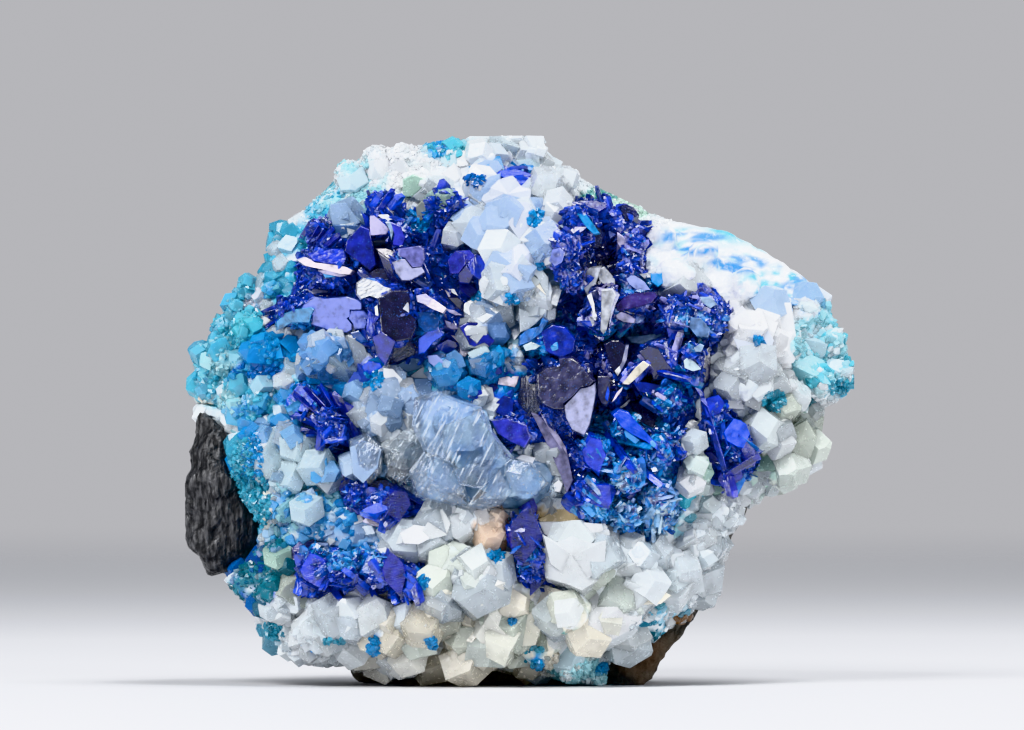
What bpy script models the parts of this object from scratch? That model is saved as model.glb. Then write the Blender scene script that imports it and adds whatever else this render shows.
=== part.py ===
"""Linarite on quartz: a natural hand specimen that stands on the flat foot of its host rock.

+X runs along the crystal face, +Z is up and the crystals face -Y. The origin is the middle of the
foot, on the surface that the specimen stands on. The tables are in millimetres, and MM turns them
into metres where a mesh is made.
"""

import math
import random

import bmesh
import bpy
from mathutils import Matrix, Vector, noise
from mathutils.geometry import delaunay_2d_cdt

MM = 0.001

# Driving dimensions, in millimetres
GAP = 0.3  # between neighbouring solids
MIDDLE_X = 0.0  # middle of the crust, from which its dome falls away
MIDDLE_Z = 25.0
FOOT_DEPTH = 13.0  # of the host rock's foot, front to back
FOOT_HEIGHT = 13.0  # up to which the host rock tapers from its foot
CRUST_EDGE = 3.2  # thickness of the quartz crust at its rim
CRUST_DOME = 7.6  # rise of the crust from its rim to its middle
CRUST_LEAN = 0.14  # how fast the contact of crust and host rock goes back with height
CRUST_ROUGH = 0.45  # height of the crust's small waves
CRUST_WAVE = 3.4  # width of those waves
CRUST_FACET = 3.4  # spacing of the points that carry the crust's relief
RIM_BREAK = 0.9  # how far the crust's back is broken away at the rim
HOST_EDGE = 4.0  # thickness of the host rock at its rim
HOST_DOME = 9.0  # rise of the broken back from its rim to its middle
HOST_LUMP = (2.2, 8.0)  # height and width of the lumps of the broken back
HOST_LEDGE = (1.4, 4.5)  # height and width of its ledges
HOST_FACET = 4.8  # spacing of the points that carry the broken back
GALENA_DOME = 2.6  # rise of the galena from its rim to its middle
GALENA_RIDGE = 0.9  # height of its upright fibrous ridges
GALENA_FACET = 1.5  # spacing of the points that carry the ridges
GALENA_DEPTH = 1.0  # how far the galena's pocket reaches behind the contact
ROOT = 1.2  # how far each crystal starts below the crust
HOLLOW_REACH = 6.0  # half length of the cutter of a hollow
COLUMN_FRONT = -40.0  # y in front of everything
KEPT_SHARE = 0.66  # of the triangles, once slivers are merged
SHARP_ANGLE = math.radians(28)  # between faces that meet at a crisp edge

# Outlines, as (x, z), anticlockwise seen from the front
CRUST_OUTLINE = [
    (31.9, 28.8), (30.1, 34.5), (27.7, 38.1), (23.8, 40.6), (20.3, 42.6), (16.2, 43.4),
    (12.8, 44.2), (7.3, 47.0), (4.5, 48.3), (1.3, 50.3), (-5.9, 51.3), (-9.5, 50.6),
    (-13.7, 50.4), (-19.4, 45.1), (-22.1, 42.4), (-23.7, 38.8), (-28.8, 32.1), (-29.9, 28.0),
    (-30.5, 19.4), (-30.7, 14.4), (-28.1, 10.8), (-24.8, 7.6), (-21.4, 2.7), (-15.2, 2.4),
    (-10.9, 1.1), (-9.8, 2.1), (-4.3, 2.2), (1.4, 1.1), (4.3, 0.9), (8.1, 0.3),
    (8.7, 2.6), (12.8, 4.3), (18.1, 8.8), (19.0, 11.7), (20.9, 17.4), (23.0, 18.3),
    (26.9, 20.2), (28.2, 26.4), (30.7, 27.6),
]
HOST_OUTLINE = [
    (31.0, 29.0), (29.4, 34.0), (27.1, 37.3), (23.3, 39.8), (19.5, 41.8), (15.7, 42.7),
    (11.9, 43.6), (9.0, 45.4), (4.3, 47.5), (0.9, 49.2), (-6.2, 50.4), (-13.3, 49.5),
    (-16.1, 47.0), (-21.4, 41.6), (-22.8, 38.3), (-25.4, 35.0), (-28.0, 31.6), (-29.0, 27.8),
    (-29.3, 19.4), (-29.6, 14.7), (-27.2, 11.2), (-24.0, 8.1), (-21.9, 5.5), (-20.4, 3.3),
    (-16.6, 2.4), (-15.0, 0.9), (-12.5, 0.0), (-5.0, 0.0), (4.0, 0.0), (12.5, 0.0),
    (13.6, 0.9), (14.6, 3.0),
    (16.9, 6.5), (18.9, 10.4), (20.1, 13.7), (22.1, 16.3), (23.0, 18.1), (26.3, 20.7),
    (27.1, 24.0), (29.6, 28.0),
]
GALENA_OUTLINE = [
    (-26.2, 21.6), (-26.9, 23.6), (-28.2, 25.0), (-29.5, 25.3), (-30.2, 23.4), (-30.5, 19.4),
    (-31.1, 14.4), (-29.9, 12.4), (-28.5, 10.9), (-26.8, 10.5), (-25.4, 11.7), (-23.9, 13.5),
    (-23.7, 15.7), (-25.3, 17.1), (-26.1, 19.8),
]

# Broad hills and one hollow of the crust: x, z, half width, half height, rise towards the viewer
HILLS = [
    (1.5, 43.0, 7.0, 6.5, 4.6),
    (-12.0, 38.0, 8.0, 7.0, 2.2),
    (-20.0, 33.0, 4.5, 5.0, 1.6),
    (-3.0, 22.0, 8.0, 5.0, 2.2),
    (-17.0, 22.0, 5.0, 6.0, 0.4),
    (-6.0, 8.0, 17.0, 5.5, 2.6),
    (11.0, 20.0, 7.0, 6.0, 1.6),
    (18.0, 36.0, 8.0, 8.0, 1.6),
    (7.5, 43.5, 5.0, 3.5, 2.6),
    (9.5, 33.0, 4.5, 7.0, -2.6),
]

# Quartz points: x, z, radius, height above the crust, lean to +X, lean to +Z
QUARTZ_POINTS = [
    (-1.0, 46.3, 1.6, 3.2, 0.0, 0.3), (-0.8, 43.2, 2.1, 3.6, -0.2, 0.05),
    (2.4, 41.9, 1.4, 3.0, 0.4, -0.1), (-4.5, 43.2, 1.6, 3.2, -0.6, 0.1),
    (3.8, 44.6, 1.1, 2.6, 0.5, 0.3), (2.9, 46.5, 1.4, 2.8, 0.4, 0.5),
    (-0.6, 38.8, 2.2, 4.2, -0.05, -0.1), (2.1, 37.5, 1.3, 3.2, 0.4, -0.2),
    (2.0, 35.1, 1.4, 2.8, 0.3, -0.4), (-2.6, 34.7, 1.9, 2.8, -0.2, -0.4),
    (-0.7, 50.2, 0.9, 2.2, 0.1, 0.9), (1.3, 49.5, 0.9, 2.4, 0.3, 0.9),
    (-2.8, 48.9, 1.3, 2.4, -0.2, 0.6), (-3.3, 46.5, 1.2, 2.6, -0.3, 0.3),
    (-15.5, 48.0, 1.1, 2.0, -0.4, 0.5), (-13.2, 49.3, 1.2, 2.0, -0.2, 0.6),
    (-10.7, 49.5, 1.1, 2.2, 0.0, 0.7), (-8.3, 49.2, 1.2, 2.0, 0.1, 0.6),
    (-6.0, 49.7, 1.2, 2.0, 0.1, 0.7), (-8.6, 46.8, 1.3, 2.2, 0.0, 0.2),
    (-16.0, 43.8, 1.5, 4.0, 0.0, -0.2), (-17.5, 31.2, 2.3, 3.4, -0.1, 0.1),
    (-12.1, 25.9, 2.9, 4.0, -0.1, -0.1), (-11.5, 28.6, 1.1, 3.6, 0.1, 0.5),
    (-14.0, 27.1, 1.2, 3.0, -0.3, 0.2), (-23.5, 21.9, 2.1, 3.4, -0.4, 0.1),
    (-20.1, 23.1, 1.6, 3.2, 0.0, 0.3), (-18.3, 20.6, 1.5, 2.8, 0.2, -0.1),
    (-13.6, 21.2, 1.6, 3.6, -0.1, -0.1), (-21.4, 19.5, 1.4, 2.6, -0.2, -0.3),
    (-21.9, 16.8, 1.2, 2.2, -0.3, 0.0), (-19.5, 16.8, 1.3, 2.6, 0.0, 0.1),
    (-21.9, 8.6, 2.3, 2.8, -0.4, -0.2), (-22.3, 12.4, 1.1, 2.0, -0.2, 0.2),
    (-18.5, 5.2, 2.1, 3.0, -0.3, -0.2), (-15.5, 6.7, 1.9, 3.2, -0.1, 0.2),
    (-12.3, 5.8, 2.3, 3.6, -0.1, -0.1), (-10.7, 2.9, 1.4, 2.6, 0.0, -0.7),
    (-8.6, 6.0, 1.9, 3.4, 0.1, 0.1), (-7.1, 8.8, 2.1, 3.6, -0.1, 0.3),
    (-5.7, 11.7, 1.7, 3.4, -0.2, 0.4), (-7.5, 14.7, 2.3, 4.2, -0.4, 0.5),
    (-4.5, 15.5, 1.7, 3.4, 0.0, 0.5), (-2.2, 14.5, 1.7, 3.2, 0.2, 0.3),
    (-2.9, 10.0, 2.5, 4.0, 0.1, 0.1), (-4.3, 4.8, 2.1, 3.2, 0.0, -0.3),
    (-0.5, 6.0, 2.3, 3.4, 0.1, -0.1), (2.2, 4.1, 1.9, 2.8, 0.1, -0.4),
    (4.8, 7.1, 2.3, 3.6, 0.1, 0.0), (5.0, 2.2, 1.2, 2.2, 0.1, -0.7),
    (7.1, 11.7, 3.2, 5.0, -0.3, 0.4), (9.2, 7.9, 2.7, 4.2, 0.2, 0.0),
    (11.1, 11.7, 2.3, 3.8, 0.3, 0.3), (12.3, 7.9, 1.9, 3.0, 0.4, -0.2),
    (9.8, 4.7, 1.4, 2.4, 0.4, -0.5), (14.5, 10.7, 2.1, 3.4, 0.4, 0.1),
    (16.8, 13.6, 1.9, 3.0, 0.4, 0.2), (18.1, 16.2, 1.5, 2.8, 0.4, 0.3),
    (16.6, 20.0, 1.2, 3.4, 0.1, 0.5), (19.7, 16.0, 1.1, 2.4, 0.7, 0.0),
    (15.3, 38.1, 1.9, 3.2, -0.2, 0.3), (17.6, 40.0, 1.6, 2.6, 0.1, 0.6),
    (22.1, 32.8, 2.1, 3.4, 0.2, 0.1), (21.4, 29.4, 2.1, 3.2, 0.1, -0.2),
    (21.4, 37.3, 1.7, 2.6, 0.2, 0.5), (24.4, 35.4, 1.3, 2.4, 0.4, 0.3),
    (25.4, 31.8, 1.3, 2.6, 0.3, 0.0), (27.1, 34.9, 1.4, 2.4, 0.5, 0.5),
    (29.2, 32.2, 1.3, 2.4, 0.8, 0.2), (28.2, 29.0, 1.4, 2.6, 0.6, -0.2),
    (30.5, 29.5, 1.0, 2.0, 0.9, -0.1), (25.6, 27.6, 1.2, 2.6, 0.3, -0.1),
    (24.0, 24.2, 1.9, 3.2, 0.2, 0.1), (26.3, 23.1, 1.6, 2.8, 0.5, -0.2),
    (24.8, 20.4, 1.4, 2.6, 0.3, -0.5), (-6.4, 29.5, 1.6, 3.0, 0.0, 0.1),
    (-2.9, 30.3, 1.5, 2.8, 0.1, 0.0), (-4.3, 27.4, 1.3, 2.8, 0.0, 0.0),
    (-10.5, 22.3, 1.5, 3.0, 0.0, 0.0), (-10.4, 13.6, 1.4, 2.6, 0.0, -0.2),
    (0.5, 31.6, 1.2, 2.6, 0.0, -0.1), (16.8, 23.1, 1.0, 2.6, 0.0, 0.1),
    (13.8, 41.9, 1.5, 2.4, 0.0, 0.6),
]

# Copper mineral groups. Each fills a column behind its outline down to a sloping floor, given
# as its depth below the crust at the outline's middle, its slope along x and its slope along z.
UPPER_LEFT = {
    "outline": [
        (-20.2, 44.2), (-18.7, 45.1), (-17.2, 44.6), (-17.0, 42.3), (-15.7, 41.4), (-14.3, 43.4),
        (-14.0, 45.9), (-12.1, 46.8), (-10.5, 46.3), (-9.6, 44.7), (-8.1, 45.9), (-7.3, 47.6),
        (-5.0, 47.8), (-4.7, 45.7), (-6.0, 43.8), (-5.5, 42.1), (-3.9, 40.8), (-2.6, 40.0),
        (-2.8, 37.3), (-4.1, 36.2), (-5.0, 34.3), (-4.3, 32.6), (-5.0, 31.4), (-7.1, 31.4),
        (-10.7, 29.7), (-12.4, 30.1), (-13.8, 31.6), (-14.2, 33.2), (-17.6, 33.0), (-21.2, 33.7),
        (-23.3, 34.3), (-22.9, 35.4), (-20.4, 36.6), (-20.4, 41.6),
    ],
    "floor": (3.6, -0.30, 0.12),
}
LEFT_FAN = {
    "outline": [
        (-21.4, 28.4), (-18.7, 28.6), (-16.4, 27.1), (-15.3, 24.6), (-16.1, 20.6), (-14.2, 19.7),
        (-11.7, 19.5), (-9.2, 18.1), (-7.7, 16.8), (-8.5, 15.1), (-10.7, 14.3), (-13.6, 15.7),
        (-15.7, 16.8), (-16.8, 19.1), (-17.6, 21.6), (-19.7, 23.7), (-21.2, 25.6),
    ],
    "floor": (3.2, -0.20, 0.0),
}
LOWER_LEFT = {
    "outline": [
        (-20.8, 13.0), (-18.1, 13.6), (-15.7, 12.8), (-13.2, 13.2), (-10.7, 13.0), (-8.6, 12.1),
        (-7.9, 10.4), (-9.0, 7.9), (-10.5, 7.9), (-11.7, 9.6), (-13.6, 8.5), (-15.7, 9.0),
        (-17.8, 8.5), (-19.7, 8.6), (-20.6, 10.4),
    ],
    "floor": (3.2, -0.20, -0.15),
}
VUG = {
    "outline": [
        (3.1, 40.0), (3.9, 43.2), (5.4, 45.5), (8.1, 46.1), (10.5, 44.9), (12.1, 42.8),
        (12.1, 38.3), (14.0, 37.3), (16.6, 37.0), (18.5, 37.3), (20.4, 35.4), (20.2, 33.0),
        (18.3, 31.8), (18.1, 28.6), (16.8, 27.1), (16.6, 25.0), (16.2, 22.3), (15.3, 19.5),
        (15.5, 17.0), (14.5, 14.7), (12.1, 13.4), (8.5, 14.0), (4.8, 15.9), (5.0, 18.7),
        (4.5, 21.0), (3.5, 22.5), (1.4, 23.1), (-1.0, 22.9), (-1.6, 24.6), (-1.4, 26.5),
        (0.7, 27.8), (2.0, 29.5), (0.3, 31.8), (2.0, 33.7), (3.9, 35.2),
    ],
    "floor": (3.4, 0.12, 0.2),
}
RIGHT_LOBE = {
    "outline": [
        (18.5, 27.5), (20.2, 25.9), (21.8, 24.0), (23.0, 21.9), (22.1, 19.3), (20.6, 18.2),
        (19.1, 18.9), (17.6, 21.2), (17.4, 23.5), (18.0, 26.1),
    ],
    "floor": (2.6, 0.20, 0.0),
}
LOWER_BLADE = {
    "outline": [
        (-0.7, 15.3), (0.7, 15.9), (2.0, 16.0), (2.5, 14.7), (2.9, 12.4), (4.0, 9.0),
        (2.9, 8.8), (2.0, 10.5), (0.5, 10.0), (-0.7, 11.1), (-0.3, 13.6),
    ],
    "floor": (2.4, 0.0, 0.0),
}
TOP_TUFT = {
    "outline": [(-1.8, 48.3), (-0.1, 48.8), (2.2, 48.1), (2.1, 46.8), (0.3, 46.4), (-1.4, 46.9)],
    "floor": (2.0, 0.0, 0.3),
}
CLEAR_CRYSTAL = {
    "outline": [
        (-9.2, 23.1), (-8.1, 26.5), (-5.0, 27.6), (-2.8, 26.7), (-2.4, 24.0), (-0.7, 21.9),
        (2.2, 21.4), (3.5, 20.0), (3.1, 18.1), (1.4, 17.0), (-2.4, 16.8), (-6.2, 17.0),
        (-8.2, 18.9),
    ],
    "floor": (3.0, 0.0, 0.0),
}
TURQUOISE = {
    "outline": [
        (-22.1, 43.2), (-21.3, 42.1), (-21.5, 40.0), (-21.5, 37.5), (-24.0, 36.0), (-24.6, 33.9),
        (-21.6, 32.6), (-19.7, 32.0), (-20.6, 30.7), (-20.9, 29.4), (-22.6, 28.8), (-22.5, 26.4),
        (-24.0, 24.9), (-25.0, 23.8), (-26.3, 25.6), (-28.2, 26.6), (-30.7, 26.9), (-30.8, 28.2),
        (-29.8, 32.8), (-27.2, 36.5), (-24.7, 39.3), (-23.5, 42.3),
    ],
    "floor": (2.4, -0.45, 0.0),
}
# Linarite sheaves that radiate from a foot: x, z, reach, number of blades, first and last
# direction in degrees from +X towards +Z
SHEAVES = {
    "linarite_upper_left": [
        (-15.6, 41.2, 3.8, 5, 100, 215), (-12.2, 43.4, 3.8, 5, 50, 130), (-6.4, 42.8, 4.2, 5, 55, 125),
        (-5.0, 36.6, 2.2, 4, -60, 60),
    ],
    "linarite_left_fan": [(-15.8, 26.4, 4.6, 6, 165, 265), (-10.6, 17.2, 2.8, 5, -60, 150)],
    "linarite_lower_left": [(-17.6, 10.2, 2.2, 4, 180, 320), (-10.8, 10.4, 2.4, 5, -150, 20)],
    "linarite_vug": [
        (8.5, 21.5, 4.2, 5, -140, 30), (12.2, 22.5, 4.0, 5, -70, 60), (12.8, 17.2, 2.8, 5, -110, 10),
        (3.2, 31.6, 2.6, 4, 100, 230),
    ],
    "linarite_right_lobe": [(19.8, 22.4, 3.0, 5, -110, 60)],
}

# Single crystals that stand out of the crust: x, z, width and height of the end face, rise
# above the crust, twist in degrees, lean to +X, lean to +Z
BLOCKS = {
    "linarite_upper_left": [
        (-17.8, 38.8, 4.6, 3.0, 3.6, -5, -0.3, -0.1), (-18.9, 35.0, 7.4, 2.3, 2.4, 3, -0.1, -0.25),
        (-18.7, 42.3, 2.5, 2.5, 3.0, 20, -0.4, 0.2), (-12.7, 43.2, 1.9, 1.7, 4.0, 0, 0.0, 0.2),
        (-14.6, 41.1, 1.9, 2.7, 3.6, -10, 0.0, 0.0), (-9.9, 39.7, 3.2, 3.0, 4.4, 10, 0.1, 0.1),
        (-13.2, 37.3, 3.0, 1.9, 4.4, 5, 0.0, 0.0), (-11.3, 34.3, 4.2, 5.3, 5.0, -5, 0.0, -0.2),
        (-7.9, 33.7, 2.3, 3.2, 3.4, 0, 0.2, -0.1), (-7.9, 36.1, 2.9, 1.3, 4.2, -10, 0.2, 0.0),
        (-12.3, 45.3, 2.9, 2.1, 3.2, 10, 0.0, 0.5), (-6.5, 44.9, 2.1, 3.8, 3.2, 0, 0.1, 0.3),
        (-4.5, 39.4, 2.5, 1.9, 3.6, 0, 0.3, 0.0), (-10.7, 42.6, 2.1, 2.5, 3.4, 30, 0.0, 0.1),
    ],
    "linarite_left_fan": [
        (-19.7, 26.4, 2.7, 2.9, 3.0, 15, -0.2, 0.1), (-17.1, 24.5, 2.3, 3.2, 3.4, 30, 0.0, 0.0),
        (-11.9, 17.1, 4.2, 2.7, 3.4, -15, 0.0, 0.0), (-14.5, 18.1, 2.3, 2.1, 2.8, 20, -0.1, 0.0),
    ],
    "linarite_lower_left": [
        (-19.1, 11.5, 2.5, 2.5, 3.0, 10, -0.1, 0.0), (-16.1, 10.9, 3.2, 2.5, 3.2, -10, 0.0, 0.0),
        (-12.3, 11.2, 3.2, 2.3, 3.4, 15, 0.0, 0.0), (-9.8, 9.8, 1.9, 3.0, 2.8, -10, 0.1, -0.1),
    ],
    "linarite_vug": [
        (4.8, 27.2, 4.9, 6.7, 4.2, -8, -0.05, 0.0), (9.2, 29.4, 2.3, 6.3, 4.0, -4, 0.0, 0.0),
        (8.1, 36.2, 2.7, 6.5, 6.0, -4, 0.0, 0.05), (11.4, 29.5, 0.9, 3.2, 5.2, -45, 0.1, 0.0),
        (11.4, 36.1, 3.8, 1.7, 4.8, -5, 0.1, 0.0), (10.4, 34.5, 2.5, 1.3, 4.0, 10, 0.0, 0.0),
        (18.4, 34.9, 3.2, 4.2, 3.8, 10, 0.25, 0.05), (15.2, 35.1, 3.0, 3.0, 3.6, -10, 0.1, 0.1),
        (4.8, 38.7, 2.3, 2.5, 4.6, 10, -0.3, 0.0), (4.3, 41.4, 2.3, 2.5, 4.8, -10, -0.3, 0.1),
        (5.6, 44.0, 2.5, 2.3, 5.0, 20, -0.2, 0.3), (8.0, 45.0, 2.5, 1.9, 5.0, 0, 0.0, 0.4),
        (10.2, 43.8, 2.5, 2.3, 5.0, -20, 0.2, 0.3), (11.3, 41.3, 2.1, 2.9, 4.8, 5, 0.3, 0.1),
        (10.7, 38.7, 2.1, 2.3, 4.4, 15, 0.2, 0.0), (2.7, 32.5, 3.6, 2.3, 3.4, -10, -0.2, 0.0),
        (0.9, 29.5, 2.3, 2.1, 3.0, 10, -0.2, 0.0), (-0.3, 24.0, 3.2, 2.1, 3.0, -5, -0.1, 0.0),
        (10.9, 24.5, 3.8, 1.7, 4.0, -10, 0.0, 0.1), (13.8, 30.9, 3.4, 3.2, 3.4, 15, 0.1, 0.0),
        (16.8, 30.5, 2.1, 3.6, 3.0, -5, 0.2, 0.0), (14.2, 26.9, 2.9, 2.7, 3.2, 30, 0.1, 0.0),
        (7.3, 21.9, 3.2, 3.0, 3.4, -20, 0.0, 0.0), (7.1, 17.4, 3.0, 3.6, 3.0, 15, -0.1, -0.1),
        (10.4, 19.9, 3.0, 3.0, 3.6, 25, 0.0, 0.0), (13.3, 22.3, 2.7, 3.0, 3.2, -15, 0.1, 0.0),
        (13.3, 17.4, 3.0, 3.2, 2.8, 10, 0.1, -0.2), (10.2, 16.0, 2.7, 2.3, 2.6, -20, 0.0, -0.2),
    ],
    "linarite_right_lobe": [
        (18.8, 25.6, 2.1, 2.7, 2.6, -30, 0.2, 0.1), (20.9, 22.6, 2.5, 3.0, 3.0, 10, 0.2, 0.0),
        (20.2, 19.7, 2.3, 2.3, 2.4, 20, 0.1, -0.2),
    ],
    "linarite_lower_blade": [
        (0.7, 15.0, 2.5, 3.4, 3.2, -8, 0.0, 0.0), (1.6, 11.5, 1.9, 3.6, 2.6, -18, 0.0, -0.1),
    ],
    "linarite_top_tuft": [
        (0.2, 47.9, 3.2, 1.5, 2.2, -5, 0.0, 0.2),
    ],
    "clear_crystal": [
        (-4.5, 23.1, 5.7, 5.1, 5.4, 20, -0.25, 0.1), (-0.9, 19.5, 4.2, 3.4, 4.6, -10, 0.2, -0.1),
        (-6.5, 20.2, 3.4, 3.8, 4.4, 10, -0.3, -0.2), (1.2, 19.1, 2.5, 2.5, 3.6, 20, 0.3, 0.0),
        (-6.5, 25.3, 2.7, 2.7, 4.8, -30, -0.2, 0.4),
    ],
}

# Hollows cut into the linarite: x, z, radius along x, radius along z, change of depth of the
# bottom against the crust
HOLLOWS = [(8.1, 39.6, 2.0, 2.6, -0.1), (12.2, 26.0, 1.1, 1.9, 2.1)]

# Rounded grains of the turquoise crust: x, z, radius
GRAINS = [
    (-24.7, 33.4, 1.9), (-27.6, 31.0, 1.6), (-23.4, 31.2, 1.7), (-28.9, 29.4, 1.2), (-28.6, 27.6, 1.1),
    (-26.2, 28.0, 1.3), (-24.2, 26.9, 1.3), (-27.6, 33.6, 1.1), (-26.4, 35.4, 1.1), (-25.4, 37.2, 1.1),
    (-23.8, 38.8, 1.2), (-23.2, 41.0, 1.0), (-21.9, 42.2, 0.9), (-22.4, 39.4, 1.1), (-22.7, 37.3, 1.1),
    (-26.0, 25.9, 1.0), (-23.8, 29.0, 1.2), (-25.6, 30.0, 1.0), (-29.6, 31.2, 1.0), (-24.6, 25.3, 0.8),
]


def rim_share(x, z):
    """Distance from the middle, as a share of the way to the crust's outline."""
    out_x = x - MIDDLE_X
    out_z = z - MIDDLE_Z
    if abs(out_x) + abs(out_z) < 1e-6:
        return 0.0
    for (ax, az), (bx, bz) in zip(CRUST_OUTLINE, CRUST_OUTLINE[1:] + CRUST_OUTLINE[:1]):
        edge_x = bx - ax
        edge_z = bz - az
        turn = out_x * edge_z - out_z * edge_x
        if abs(turn) < 1e-9:
            continue
        from_x = ax - MIDDLE_X
        from_z = az - MIDDLE_Z
        reach = (from_x * edge_z - from_z * edge_x) / turn
        along = (from_x * out_z - from_z * out_x) / turn
        if reach > 0.0 and -1e-6 <= along <= 1.000001:
            return 1.0 / reach
    return 1.0


def smooth(value, low, high):
    share = min(max((value - low) / (high - low), 0.0), 1.0)
    return share * share * (3.0 - 2.0 * share)


def contact(x, z):
    """y of the plane where the quartz crust meets the host rock."""
    return CRUST_LEAN * z - 0.5 * FOOT_DEPTH - GAP


def crust_back(x, z):
    """y of the crust's back, whose edge is broken back a little at the rim."""
    rim = smooth(rim_share(x, z), 0.9, 0.985)
    return contact(x, z) - RIM_BREAK * rim * abs(noise.noise(Vector((x, 50.0, z)) / 3.0))


def crust_front(x, z):
    """y of the crust's front surface, before any crystal stands on it."""
    share = min(rim_share(x, z), 1.0)
    hills = 0.0
    for hill_x, hill_z, wide, high, rise in HILLS:
        hills += rise * math.exp(-(((x - hill_x) / wide) ** 2) - ((z - hill_z) / high) ** 2)
    rough = CRUST_ROUGH * noise.noise(Vector((x, 7.0, z)) / CRUST_WAVE)
    dome = (CRUST_DOME * (1.0 - share**3) + hills) * (1.0 - share**10)
    return contact(x, z) - CRUST_EDGE - dome - rough


def host_back(x, z):
    """y of the broken back of the host rock: thick at the foot and in the middle, with ledges."""
    inside = 1.0 - min(rim_share(x, z), 1.0) ** 3
    foot = (FOOT_DEPTH + GAP - HOST_EDGE) * (1.0 - smooth(z, 0.0, FOOT_HEIGHT))
    lump = HOST_LUMP[0] * noise.noise(Vector((x, 30.0, z)) / HOST_LUMP[1])
    ledge = HOST_LEDGE[0] * abs(noise.noise(Vector((x, 60.0, 1.7 * z)) / HOST_LEDGE[1]))
    rough = (lump - ledge) * (0.35 + inside) * smooth(z, 0.0, 3.0)
    return contact(x, z) + HOST_EDGE + foot + HOST_DOME * inside + rough


def galena_front(x, z):
    """y of the galena's front: a long low dome with upright fibrous ridges."""
    ridge = GALENA_RIDGE * noise.noise(Vector((x * 0.9, 3.0, z * 0.22)))
    out = min(math.hypot(x + 27.6, (z - 17.8) * 0.45) / 4.0, 1.0)
    return contact(x, 19.4) - 2.9 - GALENA_DOME * (1.0 - out**2) - ridge


def point_at(x, y, z):
    return Vector((x, y, z)) * MM


def add_band(bm, inner, outer):
    count = len(inner)
    for i in range(count):
        j = (i + 1) % count
        bm.faces.new((inner[i], outer[i], outer[j]))
        bm.faces.new((inner[i], outer[j], inner[j]))


def inner_distance(outline, x, z):
    """Distance from a point to an outline, negative where the point lies outside."""
    nearest = math.inf
    inside = False
    for (ax, az), (bx, bz) in zip(outline, outline[1:] + outline[:1]):
        edge_x = bx - ax
        edge_z = bz - az
        along = ((x - ax) * edge_x + (z - az) * edge_z) / (edge_x**2 + edge_z**2)
        along = min(max(along, 0.0), 1.0)
        nearest = min(nearest, math.hypot(x - ax - along * edge_x, z - az - along * edge_z))
        if (az > z) != (bz > z) and x < ax + (z - az) * edge_x / edge_z:
            inside = not inside
    return nearest if inside else -nearest


def lattice(outline, spacing, seed):
    """Uneven triangular lattice of points inside an outline, clear of its edge."""
    rng = random.Random(seed)
    low_x = min(x for x, _ in outline)
    high_x = max(x for x, _ in outline)
    z = min(z for _, z in outline)
    high_z = max(z for _, z in outline)
    points = []
    offset = 0.0
    while z < high_z:
        x = low_x + offset
        while x < high_x:
            px = x + rng.uniform(-0.22, 0.22) * spacing
            pz = z + rng.uniform(-0.22, 0.22) * spacing
            if inner_distance(outline, px, pz) > 0.5 * spacing:
                points.append((px, pz))
            x += spacing
        z += 0.87 * spacing
        offset = 0.5 * spacing - offset
    return points


def add_surface(bm, outline, points, depth_at):
    """Triangles over an outline and the points inside it. Returns the outline's vertices."""
    flat = [Vector(point) for point in outline + points]
    ring = list(range(len(outline)))
    flat, _, faces, _, _, _ = delaunay_2d_cdt(flat, [], [ring], 1, 1e-6)
    verts = [bm.verts.new(point_at(x, depth_at(x, z), z)) for x, z in flat]
    for face in faces:
        bm.faces.new([verts[i] for i in face])
    return verts[: len(outline)]


def scaled(outline, share):
    return [(MIDDLE_X + share * (x - MIDDLE_X), MIDDLE_Z + share * (z - MIDDLE_Z)) for x, z in outline]


def slab(outline, front_points, back_points, front_at, back_at, bevel=1.0):
    """Closed body over an outline, with a relief at its front and another at its back."""
    bm = bmesh.new()
    front = add_surface(bm, outline, front_points, front_at)
    back = add_surface(bm, scaled(outline, bevel), back_points, back_at)
    add_band(bm, front, back)
    bmesh.ops.recalc_face_normals(bm, faces=bm.faces)
    return bm


def finish(bm, name):
    """Turns a bmesh into an object of that name."""
    mesh = bpy.data.meshes.new(name)
    bm.to_mesh(mesh)
    bm.free()
    made = bpy.data.objects.new(name, mesh)
    bpy.context.scene.collection.objects.link(made)
    return made


def combine(body, other, operation, solver="EXACT"):
    """Joins, trims or cuts one object with another, which is then removed."""
    step = body.modifiers.new(operation.title(), "BOOLEAN")
    step.operation = operation
    step.solver = solver
    if solver == "EXACT":
        step.use_self = True
    step.object = other
    depsgraph = bpy.context.evaluated_depsgraph_get()
    result = bpy.data.meshes.new_from_object(body.evaluated_get(depsgraph))
    body.modifiers.clear()
    body.data = result
    bpy.data.objects.remove(other)


def keep_largest(body):
    """Drops the crumbs that a cut leaves beside the main solid."""
    bm = bmesh.new()
    bm.from_mesh(body.data)
    islands = []
    left = set(bm.verts)
    while left:
        island = {left.pop()}
        edge = list(island)
        while edge:
            for link in edge.pop().link_edges:
                for vert in link.verts:
                    if vert in left:
                        left.discard(vert)
                        island.add(vert)
                        edge.append(vert)
        islands.append(island)
    islands.sort(key=len)
    for island in islands[:-1]:
        bmesh.ops.delete(bm, geom=list(island), context="VERTS")
    bm.to_mesh(body.data)
    bm.free()


def is_closed(mesh):
    bm = bmesh.new()
    bm.from_mesh(mesh)
    closed = all(edge.is_manifold for edge in bm.edges) and all(vert.is_manifold for vert in bm.verts)
    bm.free()
    return closed


def round_off(body):
    """Shades the rounded facets smooth and keeps the crisp edges."""
    body.data.shade_smooth()
    body.data.set_sharp_from_angle(angle=SHARP_ANGLE)


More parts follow.
